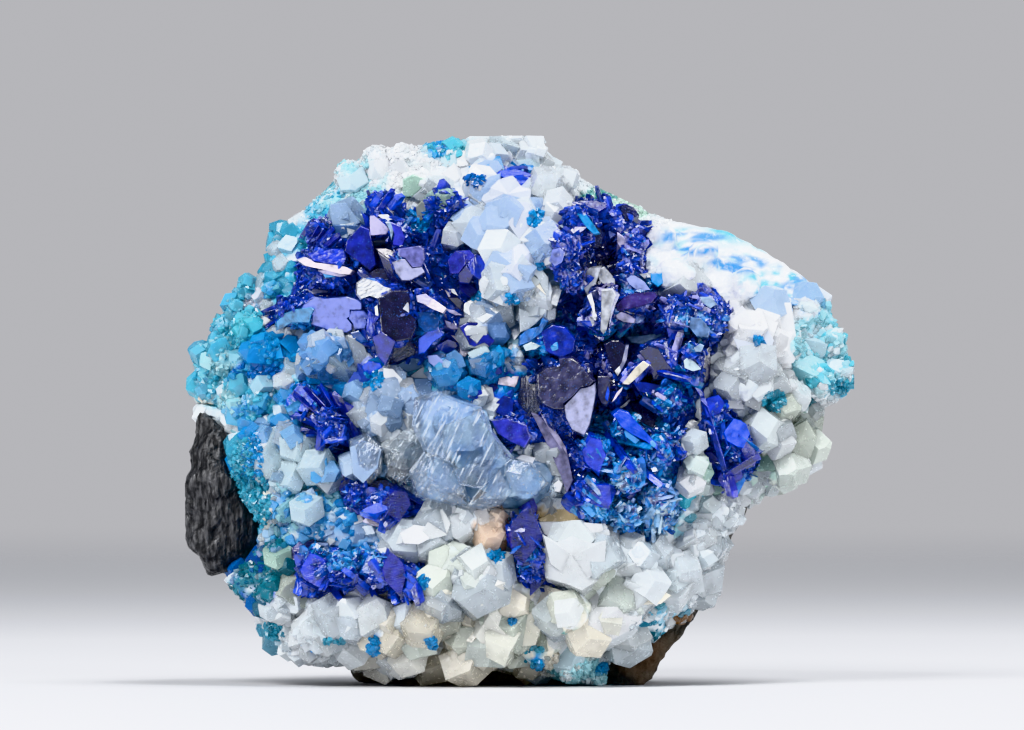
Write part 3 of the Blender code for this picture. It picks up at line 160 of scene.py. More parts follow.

# Linarite crystals whose front face is drawn: colour, slopes to +X and +Z, lift, outline in the
# photograph
# Faces in lavender, lilac, blush and silver are painted reflections and glints of the lights.
LINARITE_FACES = {
    "linarite_upper_left": [
        ("lavender", (-0.05, -0.15), 0.9, [
            (303, 308), (317, 298), (327, 300), (349, 298), (360, 301), (364, 304), (364, 310),
            (352, 310), (352, 317), (349, 319), (354, 325), (354, 330), (349, 333), (335, 332),
            (314, 325), (315, 316)]),
        ("lavender", (0.1, -0.1), 0.8, [
            (353, 311), (366, 311), (370, 316), (369, 323), (367, 329), (356, 330), (355, 324),
            (351, 319)]),
        ("sky", (-0.2, -0.15), 0.5, [
            (288, 314), (299, 310), (314, 308), (317, 310), (314, 316), (312, 323), (295, 323),
            (281, 330), (280, 323)]),
        ("royal", (0.4, 0.0), 0.5, [
            (371, 311), (379, 317), (382, 327), (376, 339), (369, 331), (370, 322)]),
        ("teal_blue", (0.0, -0.4), 0.3, [(353, 333), (361, 331), (371, 343), (365, 346), (356, 341)]),
        ("pewter", (0.0, 0.35), 0.8, [(307, 290), (320, 290), (339, 293), (329, 294), (311, 296)]),
        ("navy", (0.0, 0.6), 0.5, [
            (311, 297), (330, 295), (350, 294), (360, 299), (349, 298), (317, 298)]),
        ("silver_reflection", (-0.1, 0.25), 1.1, [
            (360, 285), (366, 280), (379, 283), (386, 288), (393, 290), (390, 295), (380, 300),
            (372, 297), (364, 300), (360, 295)]),
        ("slate", (-0.1, 0.1), 0.9, [
            (368, 276), (379, 270), (389, 269), (395, 278), (398, 288), (386, 288), (376, 281)]),
        # The two night faces of this dark block are painted shade, for the shade that it lies in.
        ("night", (0.02, 0.04), 1.3, [
            (381, 299), (395, 292), (410, 292), (412, 301), (411, 314), (417, 320), (418, 328),
            (413, 339), (398, 342), (384, 333)]),
        ("indigo", (-0.25, -0.25), 1.1, [
            (375, 338), (384, 332), (398, 342), (394, 352), (388, 365), (380, 356)]),
        ("night", (0.25, -0.3), 1.1, [
            (398, 342), (413, 339), (418, 348), (416, 355), (400, 362), (389, 365), (394, 352)]),
        ("white", (-0.5, 0.1), 1.5, [(377, 308), (380, 306), (381, 317), (378, 316)]),
        ("silver_reflection", (0.3, 0.2), 1.7, [(405, 310), (411, 301), (411, 314)]),
        ("indigo", (-0.15, 0.05), 0.6, [
            (357, 234), (363, 228), (371, 231), (375, 250), (378, 266), (372, 272), (357, 260),
            (347, 253), (349, 243)]),
        ("royal", (0.3, 0.0), 0.4, [
            (363, 214), (370, 219), (372, 236), (376, 249), (384, 262), (378, 264), (371, 240)]),
        ("royal", (0.0, 0.35), 0.7, [
            (310, 255), (323, 253), (334, 250), (346, 251), (349, 258), (346, 266), (329, 265),
            (316, 262)]),
        ("blush_glint", (-0.05, 0.2), 1.0, [
            (301, 262), (309, 259), (317, 264), (334, 266), (347, 268), (355, 272), (352, 276),
            (343, 275), (326, 271), (308, 267)]),
        ("lilac_glint", (0.0, -0.1), 0.8, [(320, 272), (334, 271), (350, 277), (342, 278), (326, 275)]),
        ("sky", (0.0, 0.0), 0.7, [(325, 274), (335, 273), (338, 278), (328, 279)]),
        ("lilac_glint", (0.05, 0.2), 0.9, [
            (372, 219), (376, 218), (386, 226), (391, 231), (388, 236), (372, 237)]),
        ("blue_grey", (0.05, -0.35), 0.8, [
            (372, 238), (389, 236), (391, 242), (386, 246), (376, 247), (373, 243)]),
        ("white", (0.1, 0.5), 1.0, [
            (379, 217), (382, 216), (389, 216), (395, 221), (392, 223), (387, 223)]),
        ("blue_grey", (0.3, 0.0), 0.6, [(387, 224), (392, 224), (396, 232), (393, 242), (391, 231)]),
        ("violet", (0.15, 0.05), 0.4, [
            (392, 224), (402, 228), (407, 240), (404, 248), (394, 247), (396, 236)]),
        ("blush_glint", (-0.15, 0.45), 1.1, [
            (377, 250), (388, 250), (398, 254), (399, 258), (395, 263), (386, 257)]),
        ("navy", (-0.3, -0.2), 0.5, [
            (380, 254), (394, 264), (399, 275), (404, 284), (396, 287), (388, 276)]),
        ("pewter_blue", (0.05, 0.2), 1.0, [
            (400, 251), (421, 248), (425, 251), (426, 260), (423, 268), (414, 269), (407, 260),
            (401, 258)]),
        ("pewter", (0.0, -0.05), 1.1, [
            (395, 264), (403, 261), (407, 261), (414, 270), (423, 269), (426, 274), (420, 278),
            (411, 282), (404, 282), (398, 274)]),
        ("violet", (-0.45, 0.1), 0.7, [
            (444, 233), (448, 230), (455, 240), (458, 247), (453, 246), (447, 240)]),
        ("indigo", (0.15, 0.1), 0.8, [
            (448, 230), (453, 227), (459, 236), (460, 241), (458, 247), (455, 243)]),
        ("navy", (0.1, 0.0), 0.3, [(440, 237), (446, 240), (454, 248), (452, 256), (444, 252)]),
        ("violet", (-0.2, 0.1), 0.5, [
            (449, 262), (457, 253), (465, 255), (466, 266), (459, 275), (451, 275)]),
        ("violet", (0.1, 0.35), 0.6, [(457, 253), (470, 252), (476, 258), (467, 266)]),
        ("royal", (0.35, 0.1), 0.5, [
            (476, 256), (487, 260), (487, 272), (480, 281), (472, 276), (468, 266)]),
        ("indigo", (0.0, -0.35), 0.5, [(459, 275), (467, 267), (474, 277), (470, 285), (460, 284)]),
        # The lilac, blush and white faces here are painted glints.
        ("lilac_glint", (0.1, 0.5), 1.2, [(418, 297), (427, 295), (433, 300), (429, 306), (419, 303)]),
        ("blush_glint", (-0.05, 0.35), 1.3, [
            (426, 297), (436, 301), (447, 309), (444, 314), (434, 310), (425, 305)]),
        ("lilac_glint", (0.0, 0.3), 1.0, [(448, 310), (455, 311), (463, 316), (456, 316), (450, 313)]),
        ("white", (0.2, 0.4), 1.1, [(449, 290), (455, 290), (459, 297), (453, 294)]),
        ("blush_glint", (-0.3, 0.2), 1.0, [(445, 290), (449, 293), (452, 297), (450, 299)]),
        ("violet", (0.15, 0.2), 0.8, [
            (460, 283), (467, 282), (479, 291), (482, 297), (475, 302), (468, 297), (460, 290)]),
        ("navy", (0.2, -0.2), 0.5, [
            (448, 298), (458, 298), (468, 306), (476, 312), (470, 318), (458, 308)]),
        ("teal_blue", (-0.05, 0.15), 0.4, [
            (417, 313), (434, 313), (441, 320), (438, 330), (427, 333), (420, 326)]),
        ("cobalt", (0.1, -0.2), 0.4, [
            (438, 326), (444, 336), (434, 343), (426, 353), (420, 354), (420, 339), (428, 333)]),
        ("royal", (0.2, -0.15), 0.7, [
            (437, 346), (449, 339), (457, 342), (459, 347), (451, 353), (441, 354)]),
        ("lilac_glint", (0.2, 0.3), 0.9, [(445, 320), (455, 324), (460, 330), (453, 330), (447, 327)]),
        ("blush_glint", (-0.1, 0.15), 0.9, [
            (451, 335), (464, 338), (469, 346), (475, 347), (466, 357), (461, 356), (460, 344)]),
        ("indigo", (0.1, 0.05), 0.9, [
            (460, 327), (470, 322), (485, 324), (487, 333), (495, 341), (490, 347), (485, 343),
            (475, 347), (470, 345), (466, 337)]),
        ("cobalt", (-0.1, -0.1), 0.8, [
            (364, 366), (371, 361), (382, 363), (386, 372), (385, 384), (379, 390), (372, 387),
            (366, 379)]),
    ],
    "linarite_vug": [
        ("lilac_glint", (-0.1, 0.1), 0.3, [
            (616, 234), (622, 238), (626, 244), (625, 247), (619, 249), (616, 244)]),
        ("lavender", (-0.3, 0.1), 0.3, [(607, 232), (614, 231), (615, 236), (609, 241)]),
        ("white", (0.2, 0.3), 0.3, [(621, 232), (627, 234), (626, 237)]),
        ("lavender", (-0.3, 0.2), 0.3, [
            (552, 252), (559, 250), (564, 254), (561, 264), (554, 268), (549, 262)]),
        ("lilac_glint", (-0.1, 0.3), 0.4, [
            (566, 234), (574, 229), (586, 229), (580, 234), (572, 239), (566, 238)]),
        ("indigo", (0.1, 0.5), 0.2, [
            (568, 204), (584, 202), (600, 203), (598, 208), (582, 210), (570, 210)]),
        ("azure", (0.2, 0.2), 0.2, [
            (576, 216), (585, 217), (592, 226), (598, 235), (592, 236), (584, 228)]),
        ("periwinkle", (0.0, 0.2), 0.4, [
            (622, 276), (634, 277), (642, 283), (648, 291), (636, 292), (628, 286)]),
        ("white", (0.0, 0.4), 0.5, [(638, 275), (646, 274), (649, 278), (643, 280)]),
        ("azure", (0.2, 0.1), 0.4, [(649, 275), (660, 274), (661, 284), (656, 288), (650, 283)]),
        ("violet_night", (0.0, 0.25), 1.0, [
            (614, 306), (622, 298), (633, 294), (653, 293), (655, 297), (649, 304), (636, 308),
            (616, 312)]),
        ("lavender_grey", (0.0, -0.1), 0.9, [
            (613, 316), (619, 312), (627, 315), (634, 320), (633, 324), (622, 323), (615, 319)]),
        ("white", (0.1, 0.4), 1.2, [(623, 312), (634, 310), (633, 315), (627, 314)]),
        # The silver faces of this crystal, its pewter side and its white edge are painted reflections of
        # the lights.
        ("silver_reflection", (-0.35, 0.05), 1.6, [
            (582, 272), (590, 269), (600, 268), (598, 274), (595, 284), (594, 294), (586, 296),
            (583, 290)]),
        ("silver_reflection", (0.25, 0.05), 1.9, [
            (598, 270), (603, 268), (613, 279), (614, 286), (610, 290), (604, 289), (599, 285),
            (597, 277)]),
        ("navy", (0.0, 0.0), 2.2, [(597, 277), (602, 271), (605, 276), (604, 286), (600, 283)]),
        ("silver_reflection", (0.1, 0.0), 1.9, [
            (600, 291), (611, 290), (614, 296), (611, 305), (608, 318), (605, 330), (602, 334),
            (599, 330), (600, 310)]),
        ("pewter", (0.5, 0.0), 1.7, [
            (611, 290), (618, 296), (614, 305), (610, 318), (607, 330), (609, 312)]),
        ("white", (-0.2, 0.0), 1.6, [(586, 297), (590, 294), (593, 305), (594, 318), (590, 308)]),
        ("night", (0.1, 0.05), 1.5, [
            (603, 345), (610, 341), (617, 341), (624, 346), (622, 358), (618, 368), (614, 374),
            (611, 370), (606, 358)]),
        ("pewter", (0.5, 0.0), 1.6, [
            (624, 346), (627, 346), (625, 360), (619, 372), (616, 376), (614, 373), (620, 362)]),
        # These two white faces on the dark crystal are painted glints.
        ("white", (0.2, 0.2), 2.0, [(613, 371), (618, 366), (619, 371), (616, 376)]),
        ("white", (-0.2, 0.2), 2.0, [(606, 347), (609, 342), (610, 343), (607, 348)]),
        ("cream", (0.15, 0.2), 2.2, [
            (621, 383), (633, 368), (641, 361), (647, 365), (636, 376), (627, 384)]),
        ("white", (0.1, 0.2), 1.8, [
            (616, 408), (624, 402), (628, 398), (629, 400), (625, 405), (620, 408)]),
        ("blush_glint", (-0.2, 0.1), 1.7, [(610, 402), (615, 392), (621, 386), (620, 390), (614, 398)]),
        ("slate", (-0.1, 0.0), 1.5, [
            (596, 376), (607, 376), (609, 384), (608, 398), (605, 406), (600, 403), (596, 394)]),
        ("cobalt", (0.2, 0.0), 1.7, [(603, 398), (606, 386), (608, 391), (606, 401)]),
        ("slate", (-0.1, 0.15), 1.6, [
            (537, 374), (545, 368), (559, 366), (558, 359), (570, 358), (577, 363), (592, 381),
            (588, 385), (579, 387), (572, 395), (562, 403), (563, 408), (553, 408), (542, 403),
            (538, 396)]),
        ("pewter", (0.2, -0.1), 1.5, [
            (573, 395), (579, 388), (588, 386), (593, 383), (594, 392), (591, 410), (588, 424),
            (583, 434), (571, 428), (565, 416), (563, 405)]),
        ("navy", (-0.45, 0.0), 0.8, [
            (521, 377), (536, 373), (537, 386), (538, 398), (543, 410), (528, 418), (516, 414),
            (518, 395)]),
        ("royal", (-0.1, 0.1), 0.6, [
            (493, 410), (496, 402), (504, 395), (511, 397), (514, 401), (513, 412), (504, 416)]),
        ("indigo", (0.1, 0.1), 0.5, [(490, 384), (496, 383), (499, 388), (494, 391), (488, 390)]),
        ("blush_glint", (0.0, 0.3), 0.8, [
            (499, 378), (508, 376), (519, 376), (517, 383), (515, 387), (498, 384)]),
        ("royal", (0.0, 0.0), 0.3, [
            (540, 332), (552, 326), (564, 328), (574, 340), (572, 352), (560, 358), (546, 352)]),
        ("deep_azure", (-0.4, 0.2), 0.2, [
            (519, 346), (520, 336), (527, 330), (539, 327), (542, 319), (547, 322), (541, 333),
            (530, 342)]),
        ("white", (0.0, 0.1), 0.5, [(559, 333), (563, 332), (564, 338), (560, 338)]),
        ("ice", (-0.2, 0.2), 0.5, [(523, 346), (531, 342), (540, 346), (536, 349), (526, 351)]),
        ("indigo", (0.15, 0.1), 0.7, [(575, 329), (586, 321), (588, 330), (582, 337)]),
        ("navy", (0.3, -0.2), 0.4, [
            (637, 352), (646, 346), (656, 349), (664, 362), (672, 372), (668, 378), (651, 380),
            (648, 366)]),
        ("blue_grey", (0.0, 0.3), 0.7, [
            (624, 337), (640, 336), (655, 334), (664, 334), (664, 340), (645, 345), (630, 343)]),
        ("royal", (0.2, -0.1), 0.5, [
            (664, 328), (672, 324), (681, 328), (683, 337), (676, 342), (667, 339)]),
        ("royal", (0.2, 0.3), 0.9, [
            (630, 381), (644, 382), (659, 385), (671, 393), (651, 395), (637, 391)]),
        ("night", (0.2, 0.1), 0.5, [
            (629, 403), (637, 402), (648, 406), (654, 418), (652, 430), (646, 433), (638, 424)]),
        ("cobalt", (0.15, 0.35), 1.3, [
            (611, 414), (617, 409), (627, 412), (637, 424), (647, 435), (654, 442), (654, 448),
            (644, 440), (630, 433), (620, 426)]),
        ("azure", (0.0, -0.2), 1.0, [(620, 427), (629, 433), (638, 439), (634, 443), (624, 436)]),
        ("ice", (0.1, 0.2), 0.5, [
            (681, 361), (685, 357), (692, 362), (698, 369), (690, 371), (682, 368)]),
        ("blue_grey", (0.1, 0.2), 0.5, [(691, 348), (697, 344), (701, 346), (698, 352), (692, 352)]),
        ("slate", (0.5, 0.0), 0.5, [(701, 350), (708, 346), (708, 378), (702, 384), (699, 368)]),
        ("white", (0.1, 0.0), 0.6, [(696, 407), (699, 408), (702, 422), (697, 420)]),
        ("white", (0.1, 0.2), 0.5, [(682, 441), (688, 435), (693, 433), (691, 441), (685, 444)]),
        ("blue_grey", (0.1, 0.3), 0.4, [(697, 298), (708, 298), (714, 305), (707, 309), (699, 304)]),
        ("steel", (-0.1, 0.0), 0.4, [
            (688, 318), (698, 319), (707, 329), (705, 338), (694, 337), (686, 327)]),
        ("violet", (-0.05, 0.15), 0.8, [
            (492, 420), (508, 418), (526, 424), (530, 436), (524, 446), (510, 440), (498, 432)]),
        ("lavender_grey", (-0.1, 0.1), 1.3, [
            (531, 412), (538, 414), (556, 434), (568, 458), (572, 478), (566, 492), (560, 474),
            (548, 446)]),
        ("lilac_glint", (0.2, 0.0), 1.4, [
            (540, 412), (552, 424), (565, 446), (570, 466), (562, 450), (550, 432)]),
    ],
    "linarite_top_tuft": [
        ("royal", (-0.1, 0.3), 0.5, [
            (498, 176), (500, 172), (510, 172), (513, 176), (512, 181), (500, 180)]),
        ("cobalt", (0.0, 0.2), 0.6, [
            (513, 177), (524, 176), (530, 181), (525, 188), (519, 187), (515, 182)]),
        ("violet", (0.2, 0.1), 0.5, [
            (524, 177), (536, 177), (538, 180), (534, 187), (528, 192), (524, 188), (530, 181)]),
    ],
}

# Quartz crystals whose outline is drawn: colour, clarity, slopes to +X and +Z, lift, outline in the
# photograph, and for one with facets the peak that they rise to and its height
QUARTZ_FACES = [
    ("blue_grey", 0.3, (0.0, 0.15), 0.7, [
        (332, 206), (347, 204), (355, 215), (362, 224), (357, 227), (334, 226), (332, 216)]),
    ("steel", 0.3, (0.0, -0.5), 0.7, [
        (334, 226), (361, 227), (355, 236), (348, 241), (341, 242), (337, 234)]),
    ("mist", 0.5, (0.2, 0.0), 0.3, [
        (349, 336), (357, 340), (366, 346), (370, 356), (364, 366), (354, 370)], (357, 352), 0.5),
    ("mist", 0.4, (0.1, 0.1), 0.5, [
        (452, 225), (460, 220), (466, 211), (472, 208), (480, 210), (487, 216), (486, 225), (485, 235),
        (479, 241), (473, 247), (464, 239)], (470, 224), 0.6),
    ("pale_green", 0.5, (0.0, 0.1), 0.3, [
        (404, 181), (414, 176), (425, 180), (424, 188), (413, 198), (404, 198)]),
    ("mist", 0.5, (0.1, 0.0), 0.3, [
        (429, 179), (440, 186), (439, 196), (429, 204), (418, 202), (413, 198), (425, 188)]),
    ("green_grey", 0.5, (0.0, -0.3), 0.3, [
        (417, 208), (422, 203), (429, 204), (429, 211), (422, 223), (418, 220)]),
    ("ice_blue", 0.3, (-0.1, 0.1), 0.5, [
        (470, 184), (493, 178), (500, 176), (499, 190), (487, 203), (478, 209),
        (470, 202)], (484, 190), 0.5),
    ("ice_blue", 0.3, (0.0, 0.4), 0.5, [
        (470, 170), (485, 161), (498, 162), (503, 170), (495, 176), (480, 179), (472, 181)]),
    ("ice", 0.4, (0.1, 0.3), 0.5, [(468, 353), (486, 344), (491, 353), (480, 357), (472, 359)]),
    ("blue_grey", 0.4, (0.1, -0.3), 0.4, [(469, 360), (491, 357), (483, 365), (473, 369)]),
    ("sky_grey", 0.4, (0.0, 0.0), 0.4, [
        (447, 355), (456, 350), (463, 356), (467, 366), (460, 369), (450, 369)]),
    ("periwinkle", 0.2, (0.0, 0.0), 0.6, [
        (429, 356), (438, 355), (445, 362), (444, 372), (438, 369), (430, 362)]),
    ("blue_grey", 0.4, (0.0, 0.2), 0.5, [
        (395, 367), (411, 358), (421, 359), (426, 366), (418, 370), (409, 372)]),
    ("white", 0.0, (0.1, 0.0), 0.8, [
        (386, 368), (395, 369), (404, 379), (400, 385), (391, 391), (384, 392)]),
    ("frost", 0.2, (0.0, 0.3), 0.4, [
        (537, 175), (547, 173), (559, 179), (561, 185), (544, 189), (537, 187)], (549, 180), 0.4),
    ("frost", 0.2, (0.0, 0.1), 0.5, [
        (491, 190), (499, 182), (516, 182), (519, 188), (530, 192), (530, 204), (524, 212), (505, 212),
        (491, 208)], (508, 196), 0.7),
    ("milk", 0.2, (0.1, 0.1), 0.4, [
        (531, 193), (545, 188), (559, 186), (560, 200), (545, 204), (544, 213),
        (531, 213)], (546, 196), 0.5),
    ("milk", 0.2, (0.2, 0.0), 0.4, [
        (545, 204), (563, 204), (565, 216), (559, 227), (549, 229), (545, 224),
        (544, 213)], (554, 214), 0.6),
    ("azure", 0.1, (0.0, 0.0), 0.2, [
        (526, 219), (531, 214), (539, 211), (543, 214), (544, 224), (547, 229), (531, 231),
        (527, 225)], (536, 220), 0.3),
    ("cream", 0.1, (0.2, 0.2), 0.5, [
        (525, 275), (531, 275), (536, 279), (542, 290), (546, 297), (536, 288), (530, 282)]),
    ("mist", 0.3, (0.4, 0.0), 0.4, [
        (533, 267), (541, 270), (548, 279), (548, 298), (542, 290), (537, 279), (531, 273)]),
    ("mist", 0.3, (0.1, 0.0), 0.4, [
        (519, 309), (533, 315), (544, 315), (536, 324), (528, 330), (520, 333)]),
    ("mist", 0.3, (0.2, 0.1), 0.4, [(535, 304), (550, 301), (551, 305), (542, 317), (533, 314)]),
    ("white", 0.0, (0.0, 0.2), 0.5, [(498, 360), (505, 353), (509, 357), (513, 361), (505, 364)]),
    ("frost", 0.1, (0.05, 0.1), 0.3, [
        (730, 338), (738, 327), (752, 324), (764, 329), (770, 341), (766, 352), (752, 358),
        (737, 354)]),
    ("white", 0.1, (0.3, 0.0), 0.3, [
        (773, 302), (788, 304), (793, 336), (788, 368), (774, 372), (772, 340)]),
    ("sand", 0.2, (0.0, 0.6), 0.5, [
        (538, 517), (556, 507), (580, 507), (600, 520), (577, 519), (540, 519)]),
    ("white", 0.0, (-0.1, 0.15), 0.7, [(538, 519), (577, 519), (571, 532), (556, 538), (543, 531)]),
    ("white", 0.1, (0.3, 0.1), 0.7, [(577, 519), (600, 521), (604, 535), (590, 540), (572, 532)]),
    ("milk", 0.3, (0.0, -0.3), 0.7, [
        (543, 532), (556, 539), (571, 533), (590, 540), (604, 537), (603, 560), (588, 574), (566, 572),
        (550, 560)], (572, 552), 0.4),
    ("cream", 0.1, (0.1, 0.3), 0.6, [
        (625, 592), (636, 585), (656, 585), (668, 592), (658, 600), (636, 601)]),
    ("white", 0.0, (0.1, 0.3), 0.6, [(443, 505), (456, 503), (463, 511), (458, 520), (445, 518)]),
    ("cream", 0.0, (-0.1, 0.4), 0.6, [(425, 510), (432, 500), (436, 506), (434, 526), (427, 524)]),
    ("milk", 0.3, (-0.2, 0.1), 0.5, [
        (424, 528), (436, 508), (444, 506), (452, 520), (448, 532), (432, 536)]),
    ("white", 0.1, (-0.1, 0.3), 0.6, [
        (402, 530), (416, 522), (430, 524), (434, 534), (420, 541), (406, 540)]),
    ("white", 0.0, (0.0, 0.5), 0.6, [
        (380, 546), (402, 541), (428, 542), (430, 548), (404, 550), (384, 550)]),
    ("white", 0.0, (0.0, 0.1), 0.7, [(452, 584), (463, 582), (466, 598), (456, 602)]),
    ("green_grey", 0.5, (0.3, -0.1), 0.4, [
        (788, 428), (804, 420), (814, 436), (808, 456), (794, 464), (784, 450)], (798, 440), 0.6),
    ("turquoise", 0.3, (0.1, 0.0), 0.4, [(760, 392), (772, 387), (783, 394), (780, 408), (766, 412)]),
    ("white", 0.0, (0.1, 0.2), 1.8, [(513, 458), (522, 453), (535, 456), (532, 462), (520, 463)]),
    ("white", 0.0, (0.1, 0.1), 1.8, [(527, 470), (534, 467), (540, 470), (534, 474)]),
    ("white", 0.0, (0.2, 0.1), 1.8, [(553, 482), (558, 478), (562, 482), (559, 490), (554, 489)]),
    ("ice_blue", 0.4, (-0.1, 0.1), 1.8, [
        (353, 446), (368, 440), (384, 448), (380, 466), (366, 481), (356, 472)]),
    ("mist", 0.4, (0.1, -0.1), 0.5, [
        (411, 376), (425, 366), (430, 374), (429, 379), (418, 380), (411, 385), (400, 391)]),
]

# Linarite laths that lie from a foot to a tip: column and row of the foot, of the tip, width,
# thickness, rise of the tip above the solid, colour
LINARITE_LATHS = {
    "linarite_upper_left": [
        (302, 243, 316, 220, 0.7, 0.4, 1.3, "violet"), (307, 244, 322, 218, 0.6, 0.4, 1.5, "lavender"),
        (312, 245, 328, 219, 0.7, 0.4, 1.7, "indigo"), (317, 246, 332, 223, 0.6, 0.4, 1.6, "violet"),
        (322, 247, 336, 229, 0.7, 0.4, 1.5, "royal"), (328, 248, 342, 236, 0.6, 0.4, 1.3, "indigo"),
        (372, 212, 384, 194, 0.8, 0.5, 1.4, "cobalt"), (381, 212, 394, 192, 0.8, 0.5, 1.6, "royal"),
        (388, 214, 403, 197, 0.8, 0.5, 1.5, "cobalt"), (436, 228, 446, 182, 1.1, 0.6, 1.8, "royal"),
        (444, 230, 462, 202, 0.9, 0.5, 1.6, "indigo"), (434, 226, 434, 198, 0.8, 0.5, 1.5, "cobalt"),
    ],
    "linarite_left_fan": [
        (360, 444, 296, 392, 1.4, 0.5, 1.6, "indigo"), (360, 444, 308, 386, 1.4, 0.5, 2.0, "violet"),
        (360, 444, 322, 384, 1.3, 0.5, 2.2, "royal"), (360, 444, 336, 392, 1.2, 0.5, 2.2, "indigo"),
        (360, 444, 348, 402, 1.1, 0.5, 2.0, "violet"), (360, 446, 296, 412, 1.4, 0.5, 1.4, "royal"),
        (358, 447, 304, 428, 1.2, 0.5, 1.2, "indigo"), (357, 450, 320, 440, 1.0, 0.5, 1.2, "navy"),
        (428, 504, 396, 484, 1.0, 0.5, 1.6, "indigo"), (430, 506, 404, 514, 0.9, 0.5, 1.4, "royal"),
    ],
    "linarite_lower_left": [
        (372, 586, 348, 566, 0.7, 0.5, 1.4, "cobalt"), (372, 580, 380, 602, 0.8, 0.5, 1.2, "royal"),
        (396, 580, 398, 600, 0.7, 0.5, 1.2, "cobalt"), (326, 574, 344, 596, 0.8, 0.5, 1.2, "royal"),
        (302, 566, 300, 592, 0.8, 0.5, 1.2, "cobalt"), (416, 574, 422, 600, 0.8, 0.5, 1.2, "royal"),
    ],
    "linarite_vug": [
        # The lilac, white and silver laths are painted glints and reflections of the lights.
        (632, 382, 662, 398, 0.3, 0.4, 1.6, "lilac_glint"), (632, 384, 668, 402, 0.25, 0.4, 1.6, "sky"),
        (632, 386, 660, 410, 0.3, 0.4, 1.6, "cobalt"), (618, 412, 652, 444, 0.3, 0.4, 1.9, "sky"),
        (588, 296, 594, 320, 0.3, 0.3, 2.4, "white"), (585, 300, 592, 326, 0.3, 0.3, 2.2, "silver_reflection"),
        (614, 446, 660, 484, 0.8, 0.5, 1.2, "cobalt"), (612, 438, 650, 446, 0.7, 0.5, 1.3, "azure"),
        (604, 430, 632, 470, 0.7, 0.5, 1.2, "royal"), (600, 440, 614, 486, 0.7, 0.5, 1.2, "cobalt"),
        (652, 386, 690, 402, 0.8, 0.5, 1.2, "indigo"), (656, 372, 688, 380, 0.8, 0.5, 1.2, "royal"),
    ],
    "linarite_right_lobe": [
        (722, 470, 700, 398, 0.9, 0.5, 1.2, "royal"), (724, 474, 756, 454, 0.9, 0.5, 1.2, "indigo"),
        (724, 470, 730, 496, 0.9, 0.5, 1.0, "violet"),
    ],
}

